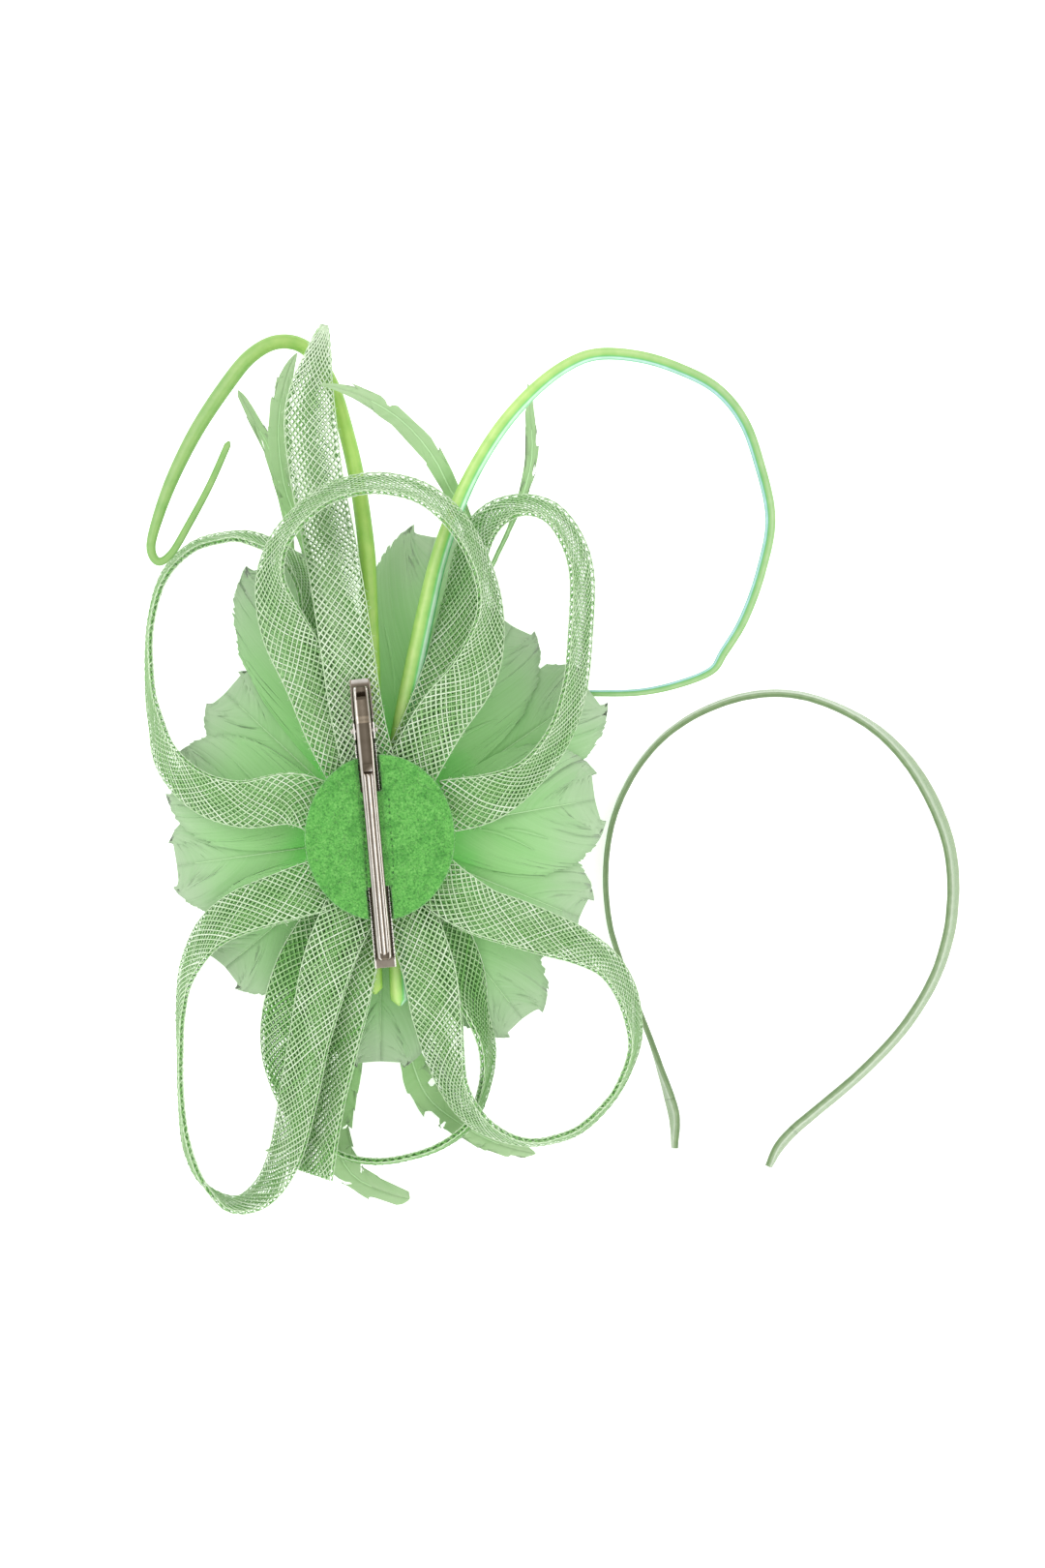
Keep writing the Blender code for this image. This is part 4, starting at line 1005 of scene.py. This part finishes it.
def add_leaf_spring(nickel):
    """The ribbed leaf: up through the lever's window, then along the arm to its tip."""
    line = interpolated([(CLIP_TIP + 4.0, 0.62), (CLIP_TIP + 6, 0.68), (-50, 0.78), (-26, 0.98),
                         (-13.6, 1.5), (-11.9, 1.05), (-10.8, -0.45), (-9.4, -0.75), (-4.4, -0.55)], 0.35)
    columns = np.linspace(-1, 1, 25)
    shape = Shape()
    points, worn = [], []
    for y, z in line:
        half = 1.55 - 0.15 * (-12 - y) / 60 if y < -13 else 1.25
        half *= math.sqrt(max(0.05, 1 - max(0, (CLIP_TIP + 5.4 - y) / 1.5) ** 2))
        grow = min(1, max(0, (-12.5 - y) / 1.5))
        for c in columns:
            rib = sum(math.exp(-((c * half - p) / w) ** 2)
                      for p, w in ((-1.15, 0.2), (0.0, 0.36), (1.15, 0.2)))
            points.append((c * half, y, z + grow * 0.26 * rib))
            # painted highlights on the ribs, painted shade between them
            worn.append(0.05 + 0.9 * rib * grow)
    index = np.arange(len(points)).reshape(len(line), len(columns))
    quads = grid_faces(index).reshape(-1, 4)
    shape.add(clip_place(points), quads, worn=worn)
    shape.build("clip_leaf_spring", nickel, "clip_lever", ["clip_spring"], thickness=0.3)


# ---------------------------------------------------------------- headband
BAND_ROUTE = [
    (91.4, -96.9, 10, 3.5), (91.4, -88.2, 18, 6.5), (89.9, -81.4, 14, 8), (87, -72.3, 5, 8),
    (84, -63.3, 0, 8), (80.5, -54.4, 0, 8), (77, -45.6, 0, 8), (74, -37, 0, 8), (71.5, -28.7, 0, 8),
    (70.2, -19.8, 0, 8), (69.9, -11.2, 0, 8), (70.6, -2.6, 0, 8), (72.4, 6, 1, 8), (75.7, 14.4, 2, 8),
    (80.7, 22.9, 2, 8), (87.7, 30.9, 3, 8), (96.7, 37.4, 4, 8), (106.4, 41.8, 5, 8),
    (115, 44.1, 6, 8), (123.3, 44.8, 6, 8), (131.6, 43.9, 7, 8), (139.7, 41.4, 8, 8),
    (147.2, 37.9, 10, 8), (153.9, 33.7, 13, 8), (159.8, 28.5, 16, 8), (165.3, 22, 19, 8),
    (170, 14.6, 21, 8), (173.8, 6.6, 21, 8), (176.6, -1.6, 20, 8), (178, -10.2, 20, 8),
    (178.1, -19.6, 19, 8), (176.6, -31, 18, 8), (171.9, -44.8, 16, 8), (162.7, -59.5, 15, 8),
    (149.8, -73.2, 14, 8), (135.2, -85.6, 14, 8), (128.6, -91.2, 15, 8), (123.8, -96.6, 15, 7.4),
    (120.7, -102.6, 12, 4)]
BAND_THICK, SATIN = 1.6, 0.25
BAND_TAB_STATIONS = 4  # part.py's stations, two to a span, that each tab takes from the cover


def band_rows(steps):
    rows = smooth_route(BAND_ROUTE, steps)
    along = np.zeros((len(rows), 3))
    along[:, :2] = rows[:, :2]
    along = tangents(along)
    side = np.cross(along, (0, 0, 1.0))
    lean = np.radians(rows[:, 2])
    up = np.cos(lean)[:, None] * np.array((0, 0, 1.0)) + np.sin(lean)[:, None] * side
    z = rows[:, 3] / 2 * np.cos(lean) + BAND_THICK / 2 * np.abs(np.sin(lean)) + 0.03
    centre = np.column_stack([rows[:, :2], z]) + HUB
    return centre, up, np.cross(up, along), rows[:, 3]


def band_outline(half_tall, half_thick, radius, lip):
    """Rounded section of the wrapped band, with a folded lip along one top edge: up and out."""
    turn = np.linspace(0, math.pi / 2, 6)
    arc = np.stack([half_tall - radius + radius * np.cos(turn),
                    half_thick - radius + radius * np.sin(turn)], 1)
    down = np.stack([np.linspace(half_tall - radius, 0, 7)[1:], np.full(6, half_thick)], 1)
    quarter = np.vstack([arc, down[:-1]])
    lower = quarter[::-1] * (-1, 1)
    face = np.vstack([quarter, [(0, half_thick)], lower])
    ring = np.vstack([face, face[::-1] * (1, -1)])
    bump = np.exp(-((ring[:, 0] - (half_tall - 0.75)) / 0.42) ** 2) * (ring[:, 1] < 0)
    ring[:, 1] -= lip * bump
    return ring


def add_band_sleeve(name, node, slice_from, slice_to, satin, seed):
    """Satin wound tightly over the band: a closed skin with its inner side, fine creases and a lip."""
    steps = 10
    centre, up, out, width = band_rows(steps)
    rows = slice(slice_from, slice_to)
    centre, up, out, width = centre[rows], up[rows], out[rows], width[rows]
    shape = Shape()
    rings, arounds = [], []
    for i, (c, u, o, w) in enumerate(zip(centre, up, out, width)):
        outer = band_outline(w / 2, BAND_THICK / 2, min(0.5, w / 6), 0.22)
        inner = band_outline(w / 2 - SATIN, BAND_THICK / 2 - SATIN, min(0.3, w / 8), 0)
        count = len(outer)
        crease = 0.05 * np.sin(i * 0.9 + np.arange(count) * 0.35 + seed) * np.sin(i * 0.13 + seed)
        outer = outer * (1 + crease[:, None] * np.array((0.15, 0.5)))
        for ring in (outer, inner):
            rings.append(c + ring[:, :1] * u + ring[:, 1:] * o)
        arounds.append(np.arange(count) / count)
    count, stations = len(arounds[0]), len(centre)
    points = np.vstack(rings)
    index = np.arange(len(points)).reshape(stations, 2, count)
    after = np.roll(index, -1, axis=2)
    faces = [np.stack([index[:-1, 0], after[:-1, 0], after[1:, 0], index[1:, 0]], -1).reshape(-1, 4),
             np.stack([index[:-1, 1], index[1:, 1], after[1:, 1], after[:-1, 1]], -1).reshape(-1, 4)]
    for end in (0, -1):
        corners = [index[end, 0], after[end, 0], after[end, 1], index[end, 1]]
        faces.append(np.stack(corners, -1).reshape(-1, 4))
    around = np.repeat(np.array(arounds)[:, None], 2, 1).ravel()
    shape.add(points, np.concatenate(faces), around=around)
    piece = shape.build(name, satin, "headband", [node])
    return piece


# ---------------------------------------------------------------- the whole piece
add_camera()
add_studio()

SINAMAY, FELT, SATIN_CLOTH = sinamay_material(), felt_material(), satin_material()
NICKEL = nickel_material()
QUILLS = {
    "quill_left": quill_material("stripped_quill", [
        (0.0, (0.20, 0.44, 0.08)), (0.08, (0.26, 0.50, 0.09)), (0.20, (0.36, 0.58, 0.14)),
        (0.30, (0.32, 0.56, 0.11)), (0.42, (0.28, 0.52, 0.10)), (0.50, (0.14, 0.46, 0.06))]),
    # The pale mint stops are a painted highlight, the dark green stops beside them painted shade.
    "quill_right": quill_material("quill_with_painted_gloss", [
        (0.0, (0.10, 0.50, 0.14)), (0.06, (0.10, 0.56, 0.22)), (0.10, (0.46, 0.74, 0.56)),
        (0.15, (0.54, 0.80, 0.64)), (0.18, (0.14, 0.55, 0.16)), (0.22, (0.30, 0.58, 0.14)),
        (0.32, (0.46, 0.68, 0.24)), (0.42, (0.34, 0.60, 0.15)), (0.50, (0.22, 0.54, 0.10))])}
# The saturated root colours are partly painted light, the green glow among the feathers near the hub.
FEATHER = feather_material("dyed_feather", (0.09, 0.56, 0.06), (0.235, 0.49, 0.175), (0.33, 0.44, 0.29))
PLUME = feather_material("dyed_plume", (0.14, 0.36, 0.09), (0.25, 0.45, 0.18), (0.35, 0.48, 0.28))
FIBRE = fibre_material("felt_fibre", (0.06, 0.32, 0.035), (0.22, 0.56, 0.15))
SHAFT = fibre_material("feather_shaft", (0.42, 0.72, 0.32), (0.58, 0.82, 0.48))
STITCH = fibre_material("stitch_thread", (0.015, 0.10, 0.012), (0.05, 0.22, 0.03))

PALER = {"braid_leaf_top": 0.16, "braid_loop_bottom": -0.22, "braid_loop_top": 0.04,
         "braid_loop_lower_right": 0.04}
for name, route in BRAID_ROUTES.items():
    add_braid(name, route, SINAMAY, PALER.get(name, 0.0))
for i, (name, bearing, reach, width) in enumerate(BACK_PETALS):
    spine = petal_spine(bearing, reach, width, 28.5 if i % 2 else 26.9, 0.0021)
    add_feather(name, spine, np.random.default_rng(40 + i), FEATHER, [name])
for i in range(FRONT_PETAL_COUNT):
    spine = petal_spine(360 / FRONT_PETAL_COUNT * (i + 0.5), FRONT_PETAL_REACH, FRONT_PETAL_WIDTH,
                        FRONT_PETAL_ROOT, FRONT_PETAL_DROOP)
    add_feather(f"front_petal_{i + 1}", spine, np.random.default_rng(70 + i), FEATHER,
                [f"front_petal_{i + 1}"], rows=60, columns=7, strands=1, cup=0.8, folds=0.3)
for i, (name, route) in enumerate(PLUME_ROUTES.items()):
    add_feather(name, plume_spine(route), np.random.default_rng(90 + i), PLUME, [name], rows=120,
                columns=6, lead=0.07, depth=0.22, folds=0.15, cup=0.4, strands=0, shaft=0.32, splits=3)
for name, route in QUILL_ROUTES.items():
    add_quill(name, route, QUILLS[name])

base = felted("felt_base_disc", "felt_base_pad", 0.5, FELT)
back = felted("felt_backing_disc", "felt_backing_pad", 0.35, FELT)
felted("front_base_disc", "felt_front_pad", 0.4, FELT)
add_fibres("felt_backing_fuzz", back, 2600, FIBRE)
add_fibres("felt_base_fuzz", base, 700, FIBRE)
add_stitches(STITCH)
build_clip(NICKEL)

LAST = (len(BAND_ROUTE) - 1) * 10
TAB = BAND_TAB_STATIONS * 5
add_band_sleeve("headband_satin_cover", "headband_cover", TAB, LAST - TAB + 1, SATIN_CLOTH, 0.0)
add_band_sleeve("headband_satin_tab_left", "headband_tab_left", 0, TAB + 1, SATIN_CLOTH, 1.0)
add_band_sleeve("headband_satin_tab_right", "headband_tab_right", LAST - TAB, LAST + 1, SATIN_CLOTH, 2.0)
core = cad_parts["headband_core"]
core.data.materials.clear()
core.data.materials.append(band_core_material())
